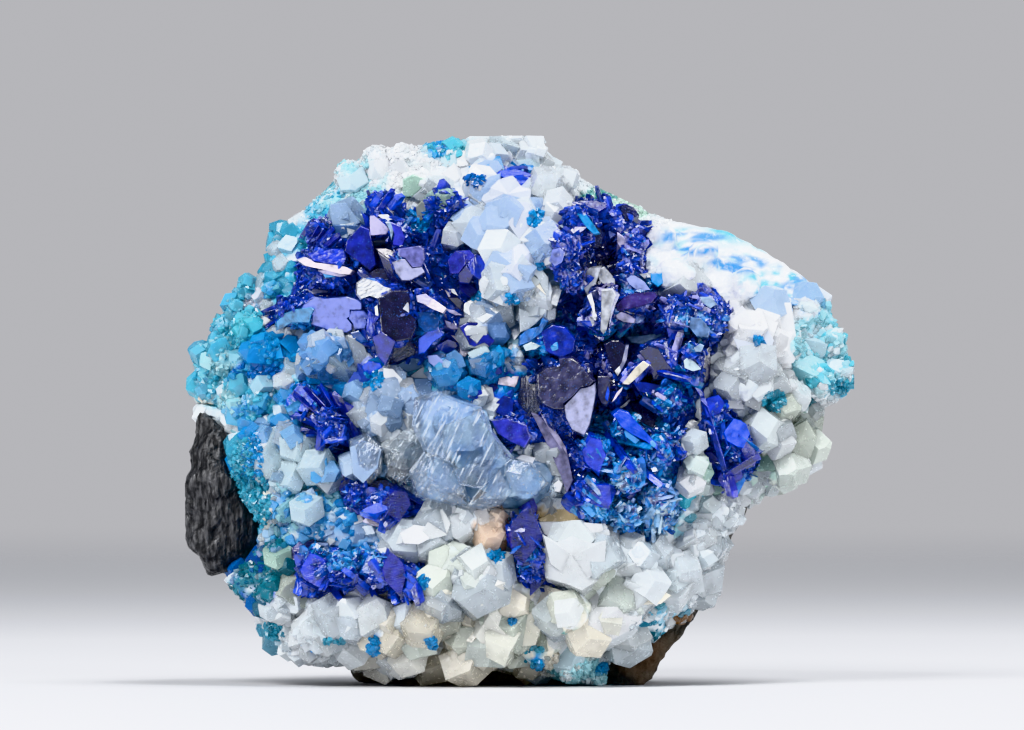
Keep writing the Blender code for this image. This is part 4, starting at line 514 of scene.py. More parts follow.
# Quartz crystals: column, row, radius, lean to +X, lean to +Z, colour, clarity from 0, milky, to 1
QUARTZ_POINTS = [
    (504, 196, 1.7, 0.0, 0.3, "frost", 0.2), (507, 228, 2.2, -0.2, 0.05, "frost", 0.1),
    (540, 242, 1.5, 0.4, -0.1, "milk", 0.2), (468, 228, 1.8, -0.5, 0.1, "mist", 0.5),
    (555, 214, 1.2, 0.4, 0.3, "frost", 0.3), (545, 193, 1.5, 0.3, 0.5, "milk", 0.3),
    (509, 275, 2.3, -0.05, -0.1, "frost", 0.1), (537, 288, 1.4, 0.3, -0.1, "white", 0.2),
    (536, 314, 1.5, 0.3, -0.3, "mist", 0.5), (488, 318, 2.0, -0.2, -0.3, "mist", 0.6),
    (512, 322, 1.6, 0.0, -0.4, "mist", 0.5), (508, 155, 0.9, 0.1, 0.7, "white", 0.2),
    (529, 162, 1.0, 0.3, 0.7, "ice", 0.3), (486, 168, 1.4, -0.2, 0.5, "sky", 0.4),
    (480, 194, 1.4, -0.2, 0.3, "ice", 0.4), (352, 178, 1.2, -0.3, 0.5, "ice", 0.2),
    (376, 164, 1.3, -0.2, 0.6, "white", 0.1), (402, 162, 1.2, 0.0, 0.6, "white", 0.1),
    (428, 165, 1.3, 0.1, 0.6, "milk", 0.3), (452, 160, 1.3, 0.1, 0.6, "ice", 0.2),
    (424, 192, 1.6, 0.0, 0.3, "mist", 0.7), (444, 200, 1.2, 0.2, 0.2, "pale_green", 0.6),
    (347, 218, 1.7, 0.0, 0.1, "blue_grey", 0.4), (347, 234, 1.3, 0.0, -0.4, "blue_grey", 0.5),
    (331, 355, 2.5, -0.1, 0.1, "ice", 0.7), (388, 410, 2.8, -0.1, -0.1, "milk", 0.5),
    (394, 382, 1.2, 0.0, 0.3, "white", 0.0), (366, 408, 1.5, -0.3, 0.1, "mist", 0.5),
    (412, 402, 1.6, 0.2, 0.2, "mist", 0.6), (268, 452, 2.2, -0.3, 0.1, "ice", 0.6),
    (303, 440, 1.7, 0.0, 0.3, "ice", 0.4), (322, 466, 1.6, 0.2, -0.1, "ice", 0.5),
    (244, 432, 1.4, -0.4, 0.2, "pale_cyan", 0.5), (372, 462, 1.7, -0.1, -0.1, "mist", 0.8),
    (290, 478, 1.5, -0.2, -0.3, "ice", 0.5), (284, 506, 1.3, -0.3, 0.0, "pale_cyan", 0.4),
    (310, 506, 1.4, 0.0, 0.1, "ice", 0.4), (332, 528, 1.2, 0.1, -0.2, "blue_grey", 0.4),
    (318, 492, 1.0, 0.1, 0.3, "white", 0.2), (284, 592, 2.4, -0.4, -0.2, "green_grey", 0.5),
    (262, 558, 1.3, -0.5, 0.0, "teal_blue", 0.4), (280, 552, 1.2, -0.2, 0.2, "pale_green", 0.5),
    (236, 566, 1.0, -0.5, 0.0, "deep_azure", 0.4), (320, 628, 2.2, -0.3, -0.2, "milk", 0.5),
    (352, 612, 2.0, -0.1, 0.2, "mist", 0.5), (345, 642, 1.6, -0.1, -0.5, "mist", 0.5),
    (385, 622, 2.4, -0.1, -0.1, "cream", 0.4), (402, 652, 1.5, 0.0, -0.5, "cream", 0.4),
    (425, 620, 2.0, 0.1, 0.1, "milk", 0.4), (440, 590, 2.2, -0.1, 0.2, "mist", 0.6),
    (455, 560, 1.8, -0.2, 0.3, "mist", 0.6), (437, 516, 2.0, -0.3, 0.2, "mist", 0.6),
    (418, 532, 1.7, -0.3, 0.4, "white", 0.1), (455, 512, 1.6, 0.1, 0.3, "milk", 0.4),
    (496, 526, 1.8, 0.0, 0.2, "peach", 0.3), (472, 530, 1.5, -0.1, 0.3, "milk", 0.4),
    (485, 578, 2.6, 0.1, 0.1, "mist", 0.6), (470, 632, 2.2, 0.0, -0.3, "cream", 0.5),
    (510, 620, 2.4, 0.1, -0.1, "green_grey", 0.5), (500, 650, 1.4, 0.0, -0.6, "pale_green", 0.4),
    (538, 640, 2.0, 0.1, -0.4, "green_grey", 0.5), (565, 608, 2.4, 0.1, 0.0, "mist", 0.6),
    (568, 660, 1.3, 0.1, -0.6, "ice", 0.2), (592, 662, 1.3, 0.3, -0.6, "pale_cyan", 0.2),
    (575, 548, 2.9, -0.1, 0.25, "milk", 0.4), (612, 600, 2.8, 0.2, 0.0, "white", 0.3),
    (632, 560, 2.4, 0.3, 0.3, "milk", 0.5), (645, 596, 2.0, 0.3, -0.1, "white", 0.2),
    (618, 634, 1.5, 0.4, -0.5, "milk", 0.3), (668, 570, 2.2, 0.4, 0.1, "mist", 0.6),
    (692, 540, 2.0, 0.4, 0.2, "milk", 0.5), (706, 512, 1.6, 0.4, 0.3, "milk", 0.4),
    (690, 472, 1.3, 0.1, 0.4, "white", 0.2), (722, 515, 1.2, 0.6, 0.0, "mist", 0.5),
    (678, 284, 2.0, -0.2, 0.2, "grey", 0.3), (748, 340, 2.2, 0.1, 0.1, "frost", 0.2),
    (740, 374, 2.2, 0.1, -0.2, "grey", 0.6), (722, 362, 1.4, -0.2, 0.0, "mist", 0.6),
    (760, 372, 1.5, 0.2, -0.2, "mist", 0.5), (782, 348, 1.4, 0.3, 0.0, "white", 0.1),
    (800, 330, 1.5, 0.4, 0.4, "ice", 0.3), (822, 344, 1.4, 0.6, 0.2, "ice", 0.3),
    (812, 374, 1.5, 0.5, -0.2, "pale_cyan", 0.4), (836, 372, 1.1, 0.7, -0.1, "ice", 0.2),
    (772, 398, 1.3, 0.3, -0.1, "turquoise", 0.3), (768, 430, 2.1, 0.2, 0.1, "green_grey", 0.7),
    (792, 440, 1.8, 0.5, -0.2, "green_grey", 0.6), (776, 468, 1.6, 0.3, -0.4, "pale_green", 0.6),
    (800, 410, 1.1, 0.5, 0.0, "pale_green", 0.5), (448, 372, 1.2, 0.0, 0.1, "sky", 0.6),
    (484, 364, 1.1, 0.1, 0.0, "sky_grey", 0.6), (470, 388, 1.0, 0.0, 0.0, "azure", 0.6),
    (404, 448, 1.6, 0.0, 0.0, "mist", 0.7), (405, 540, 1.5, 0.0, -0.2, "milk", 0.3),
    (520, 350, 1.2, 0.0, -0.1, "azure", 0.5), (692, 440, 1.1, 0.0, 0.1, "mist", 0.5),
    (718, 392, 1.4, 0.2, 0.1, "green_grey", 0.6), (748, 404, 1.4, 0.1, 0.1, "mist", 0.6),
]

# Large clear quartz crystals of the middle, drawn the same way: slopes to +X and +Z, lift, outline,
# peak, rise
CLEAR_FACES = [
    ((-0.1, 0.15), 1.2, [
        (420, 400), (440, 394), (460, 402), (479, 408), (489, 429), (480, 452), (455, 462), (430, 450),
        (418, 425)], (446, 418), 1.6),
    ((0.15, -0.05), 1.0, [
        (480, 452), (489, 429), (511, 457), (499, 467), (484, 484), (462, 480),
        (455, 462)], (486, 456), 1.3),
    ((-0.05, -0.25), 1.0, [
        (430, 450), (455, 462), (462, 480), (469, 502), (440, 498), (420, 493),
        (414, 470)], (438, 470), 1.3),
    ((-0.2, 0.0), 0.8, [
        (353, 440), (370, 434), (385, 446), (384, 470), (372, 482), (356, 474)], (368, 452), 1.1),
    ((0.25, -0.1), 0.8, [
        (499, 467), (511, 457), (530, 462), (545, 480), (535, 492), (512, 490)], (520, 472), 1.0),
    ((0.1, -0.1), 0.8, [(545, 480), (562, 478), (568, 490), (555, 500), (538, 496)], (554, 486), 0.6),
    ((-0.15, 0.05), 0.8, [
        (385, 446), (405, 430), (420, 425), (430, 450), (414, 470), (400, 480),
        (386, 470)], (404, 448), 1.1),
    ((0.05, -0.3), 0.7, [
        (469, 502), (484, 484), (499, 467), (512, 490), (500, 502), (484, 506)], (490, 488), 0.8),
    ((-0.1, -0.2), 0.7, [
        (386, 470), (400, 480), (414, 470), (420, 493), (404, 500), (388, 490)], (402, 484), 0.7),
]

# Spots of colour on the quartz, laid one over the other: column, row, half width and half height in
# pixels, colour, share of the crystals there that take it
QUARTZ_SPOTS = [
    (520, 600, 130, 70, "green_grey", 0.5), (480, 630, 130, 50, "cream", 0.6),
    (290, 470, 60, 60, "sky", 0.55), (285, 515, 56, 40, "blue_grey", 0.7),
    (300, 270, 40, 50, "turquoise", 0.8), (515, 322, 34, 22, "steel", 0.8),
    (388, 412, 40, 26, "blue_grey", 0.6), (331, 355, 30, 28, "sky_grey", 0.8),
    (455, 365, 54, 26, "azure", 0.75), (485, 380, 40, 14, "royal", 0.6),
    (335, 392, 40, 16, "azure", 0.8), (372, 372, 16, 16, "cobalt", 0.7),
    (510, 390, 24, 16, "cobalt", 0.6), (420, 395, 30, 30, "ice_blue", 0.7),
    (725, 250, 90, 28, "ice", 0.9), (720, 246, 70, 18, "pale_cyan", 0.8),
    (700, 238, 50, 9, "cyan", 0.6), (790, 290, 44, 30, "sky", 0.45), (828, 350, 26, 44, "cyan", 0.6),
    (365, 500, 60, 40, "sky", 0.5), (330, 520, 60, 30, "azure", 0.35),
    (500, 240, 60, 80, "ice_blue", 0.55), (410, 175, 90, 32, "white", 0.8),
    (740, 300, 90, 60, "white", 0.9), (660, 245, 60, 26, "white", 0.9),
    (615, 208, 40, 18, "pale_green", 0.7), (600, 196, 22, 8, "green", 0.6),
    (350, 190, 40, 36, "pale_cyan", 0.6), (325, 205, 22, 26, "turquoise", 0.6),
    (456, 150, 34, 12, "cyan", 0.9), (440, 150, 18, 8, "azure", 0.6), (690, 238, 36, 5, "sky", 0.7),
    (690, 251, 30, 5, "azure", 0.45), (736, 264, 30, 8, "sky", 0.6), (738, 268, 18, 8, "azure", 0.4),
    (775, 285, 40, 14, "cyan", 0.4), (800, 300, 26, 24, "sky", 0.25),
    (815, 350, 30, 44, "pale_cyan", 0.6), (812, 368, 16, 22, "cyan", 0.6),
    (838, 386, 14, 8, "turquoise", 0.8), (771, 400, 14, 13, "turquoise", 0.9),
    (802, 404, 14, 8, "teal", 0.7), (756, 340, 7, 6, "azure", 0.8),
    (778, 440, 40, 52, "green_grey", 0.5), (770, 484, 40, 14, "pale_green", 0.6),
    (536, 221, 10, 10, "azure", 0.9), (512, 300, 8, 6, "azure", 0.7), (540, 268, 5, 5, "azure", 0.6),
    (500, 312, 8, 8, "cyan", 0.6), (478, 298, 6, 6, "azure", 0.8),
    (498, 345, 22, 14, "turquoise", 0.5), (492, 358, 26, 14, "azure", 0.5),
    (452, 368, 34, 18, "sky", 0.5), (470, 378, 44, 16, "azure", 0.45), (428, 378, 20, 14, "cyan", 0.5),
    (514, 384, 22, 16, "azure", 0.5), (375, 378, 12, 14, "azure", 0.6),
    (476, 182, 14, 6, "deep_azure", 0.6), (420, 220, 16, 14, "azure", 0.7),
    (312, 250, 14, 30, "turquoise", 0.7), (285, 352, 26, 26, "azure", 0.6),
    (262, 395, 60, 24, "cyan", 0.6), (282, 398, 40, 12, "sky", 0.6), (330, 380, 30, 14, "azure", 0.5),
    (330, 392, 36, 12, "deep_azure", 0.5), (246, 470, 14, 40, "turquoise", 0.8),
    (262, 500, 14, 34, "turquoise", 0.7), (256, 455, 12, 30, "azure", 0.5),
    (300, 510, 50, 34, "pale_cyan", 0.5), (296, 520, 40, 30, "sky", 0.4),
    (268, 505, 12, 22, "cream", 0.5), (258, 575, 26, 34, "teal_blue", 0.6),
    (284, 556, 26, 30, "teal", 0.5), (262, 570, 26, 26, "teal", 0.8), (250, 588, 24, 20, "teal", 0.6),
    (330, 520, 26, 18, "sky", 0.4), (352, 540, 50, 18, "blue_grey", 0.6),
    (276, 628, 12, 10, "turquoise", 0.7), (310, 650, 16, 8, "azure", 0.6),
    (330, 636, 6, 4, "turquoise", 0.8), (343, 637, 5, 4, "turquoise", 0.8),
    (376, 642, 8, 13, "azure", 0.9), (433, 639, 6, 8, "azure", 0.9), (458, 620, 6, 10, "sand", 0.6),
    (396, 594, 16, 8, "sand", 0.6), (497, 552, 9, 7, "azure", 0.8), (512, 618, 4, 3, "azure", 0.9),
    (542, 604, 8, 5, "cyan", 0.7), (560, 616, 20, 16, "green", 0.4), (497, 643, 12, 9, "teal", 0.4),
    (534, 652, 12, 12, "turquoise", 0.5), (537, 660, 6, 9, "azure", 0.6),
    (578, 648, 10, 9, "sand", 0.3), (580, 668, 34, 14, "pale_cyan", 0.9),
    (600, 665, 6, 5, "azure", 0.8), (662, 618, 28, 18, "turquoise", 0.4),
    (640, 634, 24, 8, "teal", 0.7), (668, 596, 14, 12, "green", 0.4), (682, 620, 14, 9, "brown", 0.8),
    (496, 526, 24, 22, "peach", 0.7), (548, 512, 30, 10, "sand", 0.6), (566, 566, 10, 8, "cream", 0.7),
    (650, 520, 40, 24, "pale_cyan", 0.4), (596, 520, 16, 20, "sky", 0.6),
    (700, 470, 20, 40, "pale_green", 0.4), (690, 500, 14, 22, "cyan", 0.4),
    (412, 540, 30, 8, "ice", 0.6), (425, 578, 8, 8, "azure", 0.7), (370, 552, 34, 16, "sky", 0.6),
    (404, 470, 30, 30, "sky", 0.3), (700, 388, 16, 20, "mist", 0.5),
]

# Spots of colour on the linarite, in the same way. The first navy spot is painted shade in the hollow of
# the vug, and the lilac, lavender, sky and ice spots are painted glints
LINARITE_SPOTS = [
    (598, 268, 22, 26, "navy", 0.9), (645, 410, 16, 28, "navy", 0.9), (600, 380, 18, 40, "navy", 0.6),
    (545, 340, 30, 20, "azure", 0.6), (530, 330, 20, 12, "deep_azure", 0.7),
    (556, 300, 12, 18, "azure", 0.3), (640, 285, 24, 12, "sky", 0.35), (690, 330, 20, 22, "sky", 0.3),
    (620, 330, 24, 10, "azure", 0.5), (670, 390, 26, 24, "azure", 0.35),
    (630, 440, 50, 30, "azure", 0.4), (600, 440, 14, 30, "azure", 0.35),
    (640, 500, 50, 40, "azure", 0.5), (640, 490, 50, 44, "sky", 0.35), (640, 500, 40, 40, "ice", 0.15),
    (596, 512, 18, 16, "sky", 0.5), (660, 520, 24, 16, "ice", 0.35), (640, 480, 30, 30, "lilac_glint", 0.12),
    (625, 300, 80, 90, "lilac_glint", 0.06), (345, 550, 40, 16, "azure", 0.4),
    (360, 556, 34, 12, "sky", 0.35), (350, 545, 30, 8, "ice", 0.25), (425, 575, 10, 12, "azure", 0.5),
    (432, 330, 14, 20, "deep_azure", 0.8), (420, 222, 14, 14, "azure", 0.6),
    (340, 262, 10, 6, "azure", 0.4), (320, 250, 22, 14, "lavender", 0.25),
    (462, 350, 20, 10, "lilac_glint", 0.3), (300, 398, 20, 14, "sky", 0.5), (310, 388, 24, 8, "azure", 0.6),
    (525, 548, 12, 18, "azure", 0.3), (745, 470, 10, 20, "deep_azure", 0.4),
    (722, 440, 20, 30, "azure", 0.2), (512, 382, 26, 16, "azure", 0.5),
    (450, 340, 18, 14, "lilac_glint", 0.2), (300, 330, 18, 14, "sky", 0.6), (517, 180, 22, 14, "azure", 0.4),
]

# Spots of colour on the turquoise crust
DRUSE_SPOTS = [
    (290, 260, 20, 30, "turquoise", 0.6), (284, 270, 8, 10, "ice", 0.9),
    (256, 304, 12, 9, "frost", 0.9), (280, 300, 24, 20, "sky", 0.4), (255, 330, 24, 20, "cyan", 0.9),
    (276, 352, 32, 26, "azure", 0.95), (258, 372, 30, 12, "deep_azure", 0.9),
    (224, 356, 18, 20, "pale_cyan", 0.8), (240, 388, 20, 12, "ice", 0.4),
    (286, 388, 24, 12, "ice", 0.4), (232, 402, 14, 14, "pale_cyan", 0.9),
    (207, 402, 9, 8, "cream", 0.8), (250, 412, 20, 16, "sky", 0.5),
    (222, 340, 20, 10, "turquoise", 0.6), (240, 436, 14, 10, "ice", 0.6),
]

# Size of the quartz crystals that fill the ground, radius in millimetres: column, row, half width,
# half height in pixels, radius
QUARTZ_GRAIN = [
    (745, 340, 90, 80, 1.5), (730, 258, 110, 44, 0.0), (400, 175, 90, 40, 0.3),
    (620, 205, 60, 30, 0.25), (815, 350, 40, 60, 0.5), (300, 460, 60, 40, 1.1),
    (300, 520, 60, 40, 0.55), (330, 240, 30, 60, 0.3), (770, 440, 50, 60, 1.5),
    (500, 240, 70, 100, 1.5), (520, 600, 200, 80, 1.8), (590, 665, 60, 20, 0.3),
    (380, 400, 50, 30, 1.2), (470, 370, 90, 26, 0.5), (250, 540, 30, 60, 0.4), (660, 620, 50, 30, 0.5),
]


def spot(column, row):
    """x and z of a place in the photograph."""
    return (column - FOOT_COLUMN) * PIXEL, (FOOT_ROW - row) * PIXEL


def linear(name):
    """One of the colours as linear light."""
    channels = [int(COLOURS[name][i : i + 2], 16) / 255 for i in (1, 3, 5)]
    return np.array([c / 12.92 if c <= 0.04045 else ((c + 0.055) / 1.055) ** 2.4 for c in channels])


def paint(name):
    """The same colour for a socket, with its alpha."""
    return (*linear(name), 1.0)


def out_of(places, column, row, wide, high):
    """How far out from a spot the places lie: 0 in its middle and 1 on its edge."""
    x, z = spot(column, row)
    return ((places[:, 0] - x) / (wide * PIXEL)) ** 2 + ((places[:, 2] - z) / (high * PIXEL)) ** 2


# The solids behind the crystals

def solid_tree(names):
    """Those solids as one tree that rays can meet."""
    points = []
    faces = []
    for name in names:
        mesh = frame["nodes"][name].data
        start = len(points)
        points += [vertex.co / MM for vertex in mesh.vertices]
        faces += [[start + i for i in polygon.vertices] for polygon in mesh.polygons]
    return BVHTree.FromPolygons(points, faces)


SOLIDS = solid_tree(frame["nodes"])
FRONT_Y = -60.0  # in front of everything, in millimetres
INWARDS = Vector((0.0, 1.0, 0.0))  # the way that the viewer looks
SWELL = 0.22  # how far a ground stands out from its solid, to close the gaps between solids


def front(column, row):
    """The point of the solids that the photograph shows at a place."""
    x, z = spot(column, row)
    met = SOLIDS.ray_cast(Vector((x, FRONT_Y, z)), INWARDS)[0]
    return met if met else Vector((x, 0.0, z))


# Crystal shapes, each modelled once: the tip or the broad face at the origin, the body down to z -1

def clear_selection():
    """Leaves edit mode, with nothing selected."""
    if bpy.context.object and bpy.context.object.mode != "OBJECT":
        bpy.ops.object.mode_set(mode="OBJECT")
    bpy.ops.object.select_all(action="DESELECT")


def start_prism(sides, top):
    """A prism from z -1 up to its top, in edit mode."""
    clear_selection()
    middle = (0, 0, (top - 1) / 2)
    bpy.ops.mesh.primitive_cylinder_add(vertices=sides, radius=1.0, depth=1.0 + top, location=middle)
    bpy.ops.object.transform_apply(location=True)
    bpy.ops.object.mode_set(mode="EDIT")


def take_shape():
    """Points and faces of the shape just modelled, which is then removed."""
    bpy.ops.mesh.select_all(action="SELECT")
    bpy.ops.mesh.normals_make_consistent(inside=False)
    bpy.ops.object.mode_set(mode="OBJECT")
    made = bpy.context.object
    points = np.array([vertex.co for vertex in made.data.vertices])
    faces = [list(polygon.vertices) for polygon in made.data.polygons]
    bpy.data.objects.remove(made)
    return {"points": points, "faces": faces}


def cut(slope, turn, reach):
    """Cuts the shape off flat. Slope is the angle between the cut's normal and z, turn its bearing."""
    slope, turn = math.radians(slope), math.radians(turn)
    normal = Vector((math.sin(slope) * math.cos(turn), math.sin(slope) * math.sin(turn), math.cos(slope)))
    bpy.ops.mesh.select_all(action="SELECT")
    bpy.ops.mesh.bisect(plane_co=normal * reach, plane_no=normal, use_fill=True, clear_outer=True)


def quartz_crystal(seed, slope):
    """A six-sided prism whose end has three broad faces and three that hardly show."""
    random = np.random.default_rng(seed)
    start_prism(6, 1.0)
    for side in range(6):
        reach = random.uniform(0.0, 0.16) if side % 2 else random.uniform(0.2, 0.45)
        cut(slope + random.uniform(-4, 4), 60 * side + 30 + random.uniform(-6, 6), reach)
    return take_shape()


def sugar_grain(seed):
    """One rough grain of massive quartz."""
    clear_selection()
    bpy.ops.mesh.primitive_ico_sphere_add(subdivisions=1, radius=1.0, location=(0, 0, -0.7))
    bpy.ops.object.transform_apply(location=True)
    bpy.ops.object.mode_set(mode="EDIT")
    bpy.ops.mesh.select_all(action="SELECT")
    bpy.ops.transform.vertex_random(offset=0.22, seed=seed)
    return take_shape()


def linarite_table(seed, cuts, steep):
    """A tabular crystal: one broad flat face, and around it narrow faces at their own slopes."""
    random = np.random.default_rng(seed)
    start_prism(4, 0.0)
    for i in range(cuts):
        slope = random.uniform(steep, 82)
        turn = 360 * i / cuts + random.uniform(-18, 18)
        cut(slope, turn, random.uniform(0.5, 0.78) * math.sin(math.radians(slope)))
    return take_shape()


def linarite_lath(side, edge):
    """A long blade with an oblique end and chamfered long edges."""
    start_prism(4, 0.0)
    bpy.ops.mesh.select_all(action="SELECT")
    bpy.ops.mesh.bevel(offset=edge, segments=1, affect="EDGES")
    cut(8, side, 0.0)
    return take_shape()


POINTS = [quartz_crystal(seed, 42) for seed in (1, 2, 3, 4, 5)]
BLOCKS = [quartz_crystal(seed, 27) for seed in (11, 12, 13, 14, 15)]
GRAINS = [sugar_grain(seed) for seed in (31, 32, 33)]
TABLES = [linarite_table(seed, 6, 40) for seed in (41, 42, 43, 44, 45)]
CHIPS = [linarite_table(seed, 4, 50) for seed in (51, 52, 53, 54)]
LATHS = [linarite_lath(0, 0.18), linarite_lath(180, 0.22)]


# Gathering copies of the shapes into the mesh of one piece

def axes_along(direction, roll):
    """Axes of a crystal whose own z runs along a direction, turned about it by some degrees."""
    z = Vector(direction).normalized()
    x = Vector((0.0, 0.0, 1.0)).cross(z)
    x = x.normalized() if x.length > 1e-3 else Vector((1.0, 0.0, 0.0))
    x = Matrix.Rotation(math.radians(roll), 3, z) @ x
    return np.array(Matrix((x, z.cross(x), z)).transposed())


def lay_on(middle, lean, x, z):
    """The point at x and z of a plane through the middle that leans to +X and +Z by those slopes."""
    return Vector((x, middle.y + lean[0] * (x - middle.x) + lean[1] * (z - middle.z), z))


def covered(places, outlines):
    """Which places lie behind one of the outlines, as the photograph shows them."""
    columns = places[:, 0] / PIXEL + FOOT_COLUMN
    rows = FOOT_ROW - places[:, 2] / PIXEL
    hidden = np.zeros(len(places), bool)
    for outline in outlines:
        inside = np.zeros(len(places), bool)
        for (column, row), (next_column, next_row) in zip(outline, outline[1:] + outline[:1]):
            crosses = (row > rows) != (next_row > rows)
            slope = (next_column - column) / ((next_row - row) or 1e-9)
            inside ^= crosses & (columns < column + slope * (rows - row))
        hidden |= inside
    return hidden


PROUD = 18  # per cent of the solid behind a drawn face that may stand proud of it
RIM_INSET = 0.08  # the narrow chamfer round a flat drawn face, in millimetres, and how far it rises
RIM_RISE = 0.06
FLARE = 1.12  # how much wider a drawn crystal is at its back


class Growth:
    """Crystals that grow together as one piece, each with points and faces of its own."""

    def __init__(self, seed):
        self.random = np.random.default_rng(seed)
        self.points = []
        self.faces = []
        self.local = []
        self.tints = []
        self.clarity = []
        self.count = 0

    def add(self, shape, place, axes, size, tint, clarity=0.3):
        """One copy of a shape: where its tip is, its axes, its half width, half height and length."""
        body = shape["points"] * np.array(size)
        self.take(body @ axes.T + np.array(place), body, shape["faces"], tint, clarity)

    def draw(self, outline, lean, lift, depth, tint, clarity=0.3, peak=None, rise=0.0):
        """One crystal with a drawn outline: a flat face, or facets that rise to a peak."""
        centre = np.mean(outline, axis=0)
        x, z = spot(*centre)
        middle = Vector((x, 0.0, z))
        spokes = [np.array(place) - centre for place in outline]
        tests = [tuple(centre + share * spoke) for spoke in spokes for share in (0.3, 0.6, 0.9)]
        depths = [front(*test).y - lay_on(middle, lean, *spot(*test)).y for test in tests]
        middle.y = np.percentile(depths, PROUD) - SWELL - 0.35 * lift
        rim = [lay_on(middle, lean, *spot(*place)) for place in outline]
        if sum(a.x * b.z - b.x * a.z for a, b in zip(rim, rim[1:] + rim[:1])) < 0:
            rim.reverse()
        count = len(rim)
        after = [(i + 1) % count for i in range(count)]
        back = [middle.lerp(point, FLARE) + Vector((0, depth, 0)) for point in rim]
        faces = [[i, count + i, count + after[i], after[i]] for i in range(count)]
        faces.append([2 * count - 1 - i for i in range(count)])
        if peak:
            fronts = [lay_on(middle, lean, *spot(*peak)) - Vector((0, rise, 0))]
            faces += [[i, after[i], 2 * count] for i in range(count)]
        else:
            chamfer = RIM_INSET / max(0.5, sum((point - middle).length for point in rim) / count)
            fronts = [point.lerp(middle, chamfer) - Vector((0, RIM_RISE, 0)) for point in rim]
            faces += [[i, after[i], 2 * count + after[i], 2 * count + i] for i in range(count)]
            faces.append([2 * count + i for i in range(count)])
        points = np.array(rim + back + fronts)
        self.take(points, points - np.array(middle), faces, tint, clarity)

    def take(self, points, local, faces, tint, clarity):
        """Keeps one crystal. Local are its points on axes of its own, moved so that no two look alike."""
        self.points.append(points)
        self.local.append(local + self.random.uniform(-50, 50, 3))
        self.faces += [[i + self.count for i in face] for face in faces]
        self.count += len(points)
        self.tints.append(np.tile(tint, (len(faces), 1)))
        self.clarity.append(np.full(len(faces), clarity))

    def pick(self, shapes):
        """One of the shapes, by chance."""
        return shapes[self.random.integers(len(shapes))]

    def build(self, name):
        """The whole growth as one object, with the marks that its material reads."""
        points = np.clip(np.concatenate(self.points), BOX_LOW, BOX_HIGH)
        mesh = bpy.data.meshes.new(name)
        mesh.from_pydata((points * MM).tolist(), [], self.faces)
        mark(mesh, "tint", "FLOAT_COLOR", "FACE", with_alpha(np.concatenate(self.tints)))
        # facet: random brightness of each face, partly the crystal's own tone and partly painted glint and
        # shade
        mark(mesh, "facet", "FLOAT", "FACE", self.random.random(len(self.faces)))
        mark(mesh, "clarity", "FLOAT", "FACE", np.concatenate(self.clarity))
        mark(mesh, "local", "FLOAT_VECTOR", "POINT", np.concatenate(self.local))
        made = bpy.data.objects.new(name, mesh)
        bpy.context.scene.collection.objects.link(made)
        return made


def with_alpha(colours):
    """Rows of red, green and blue with a fourth column of ones."""
    return np.hstack([colours, np.ones((len(colours), 1))])


def mark(mesh, name, kind, domain, values):
    """Writes values on the points or faces of a mesh, for its material to read."""
    field = "color" if kind == "FLOAT_COLOR" else "vector" if kind == "FLOAT_VECTOR" else "value"
    layer = mesh.attributes.new(name, kind, domain)
    layer.data.foreach_set(field, np.asarray(values, np.float32).ravel())


def clouds(places, size, random):
    """Soft noise from 0 to 1 at the places, its clouds about that size in millimetres."""
    waves = random.normal(0, 1, (12, 3))
    sizes = size * random.uniform(0.5, 2.2, (12, 1))
    waves *= 2 * math.pi / (sizes * np.linalg.norm(waves, axis=1, keepdims=True))
    total = np.sin(places @ waves.T + random.uniform(0, 2 * math.pi, 12)).sum(axis=1)
    return np.clip(0.5 + total / 7.0, 0.0, 1.0)


PATCH = 2.2  # size of the clouds in which the base colours drift, in millimetres
STREAK = 0.9  # size of the streaks in a spot of colour
STREAK_RUN = (0.45, 1.0, 1.0)  # they run along x
BLADE_PATCH = 4.0  # millimetres over which blades lie nearly parallel
QUARTZ_PATCH = 6.0  # the same for quartz


def edge_fade(out):
    """Strength of a spot: full inside, and fading to nothing just past its edge."""
    return np.clip(2.2 * (1.15 - out), 0.0, 1.0)


def soft_tints(base, spots, places, random):
    """Colour of each place on a ground: base colours that drift into each other, and spots in clouds."""
    weights = np.array([base[name] * (0.15 + clouds(places, PATCH, random) ** 2) for name in base])
    colours = (weights / weights.sum(axis=0)).T @ np.array([linear(name) for name in base])
    for *ellipse, name, share in spots:
        out = out_of(places, *ellipse)
        near = np.flatnonzero(out < 1.3)
        cover = edge_fade(out[near])
        streaks = clouds(places[near] * STREAK_RUN, STREAK, random)
        cover *= np.clip(3.0 * (share + 0.15 - streaks), 0.0, 1.0)
        colours[near] += cover[:, None] * (linear(name) - colours[near])
    return colours


def tints(base, spots, places, random):
    """Colour of each crystal: one of the base colours, and over it each spot in its share of places."""
    names = list(base)
    weights = np.array([base[name] for name in names])
    chosen = random.choice(len(names), len(places), p=weights / weights.sum())
    colours = np.array([linear(name) for name in names])[chosen]
    for *ellipse, name, share in spots:
        cover = edge_fade(out_of(places, *ellipse))
        taken = random.random(len(places)) < share * cover
        strength = np.where(taken, random.uniform(0.6, 1.0, len(places)), 0.0)
        colours = colours + strength[:, None] * (linear(name) - colours)
    return colours


# The ground that the crystals grow from: a solid in small even faces

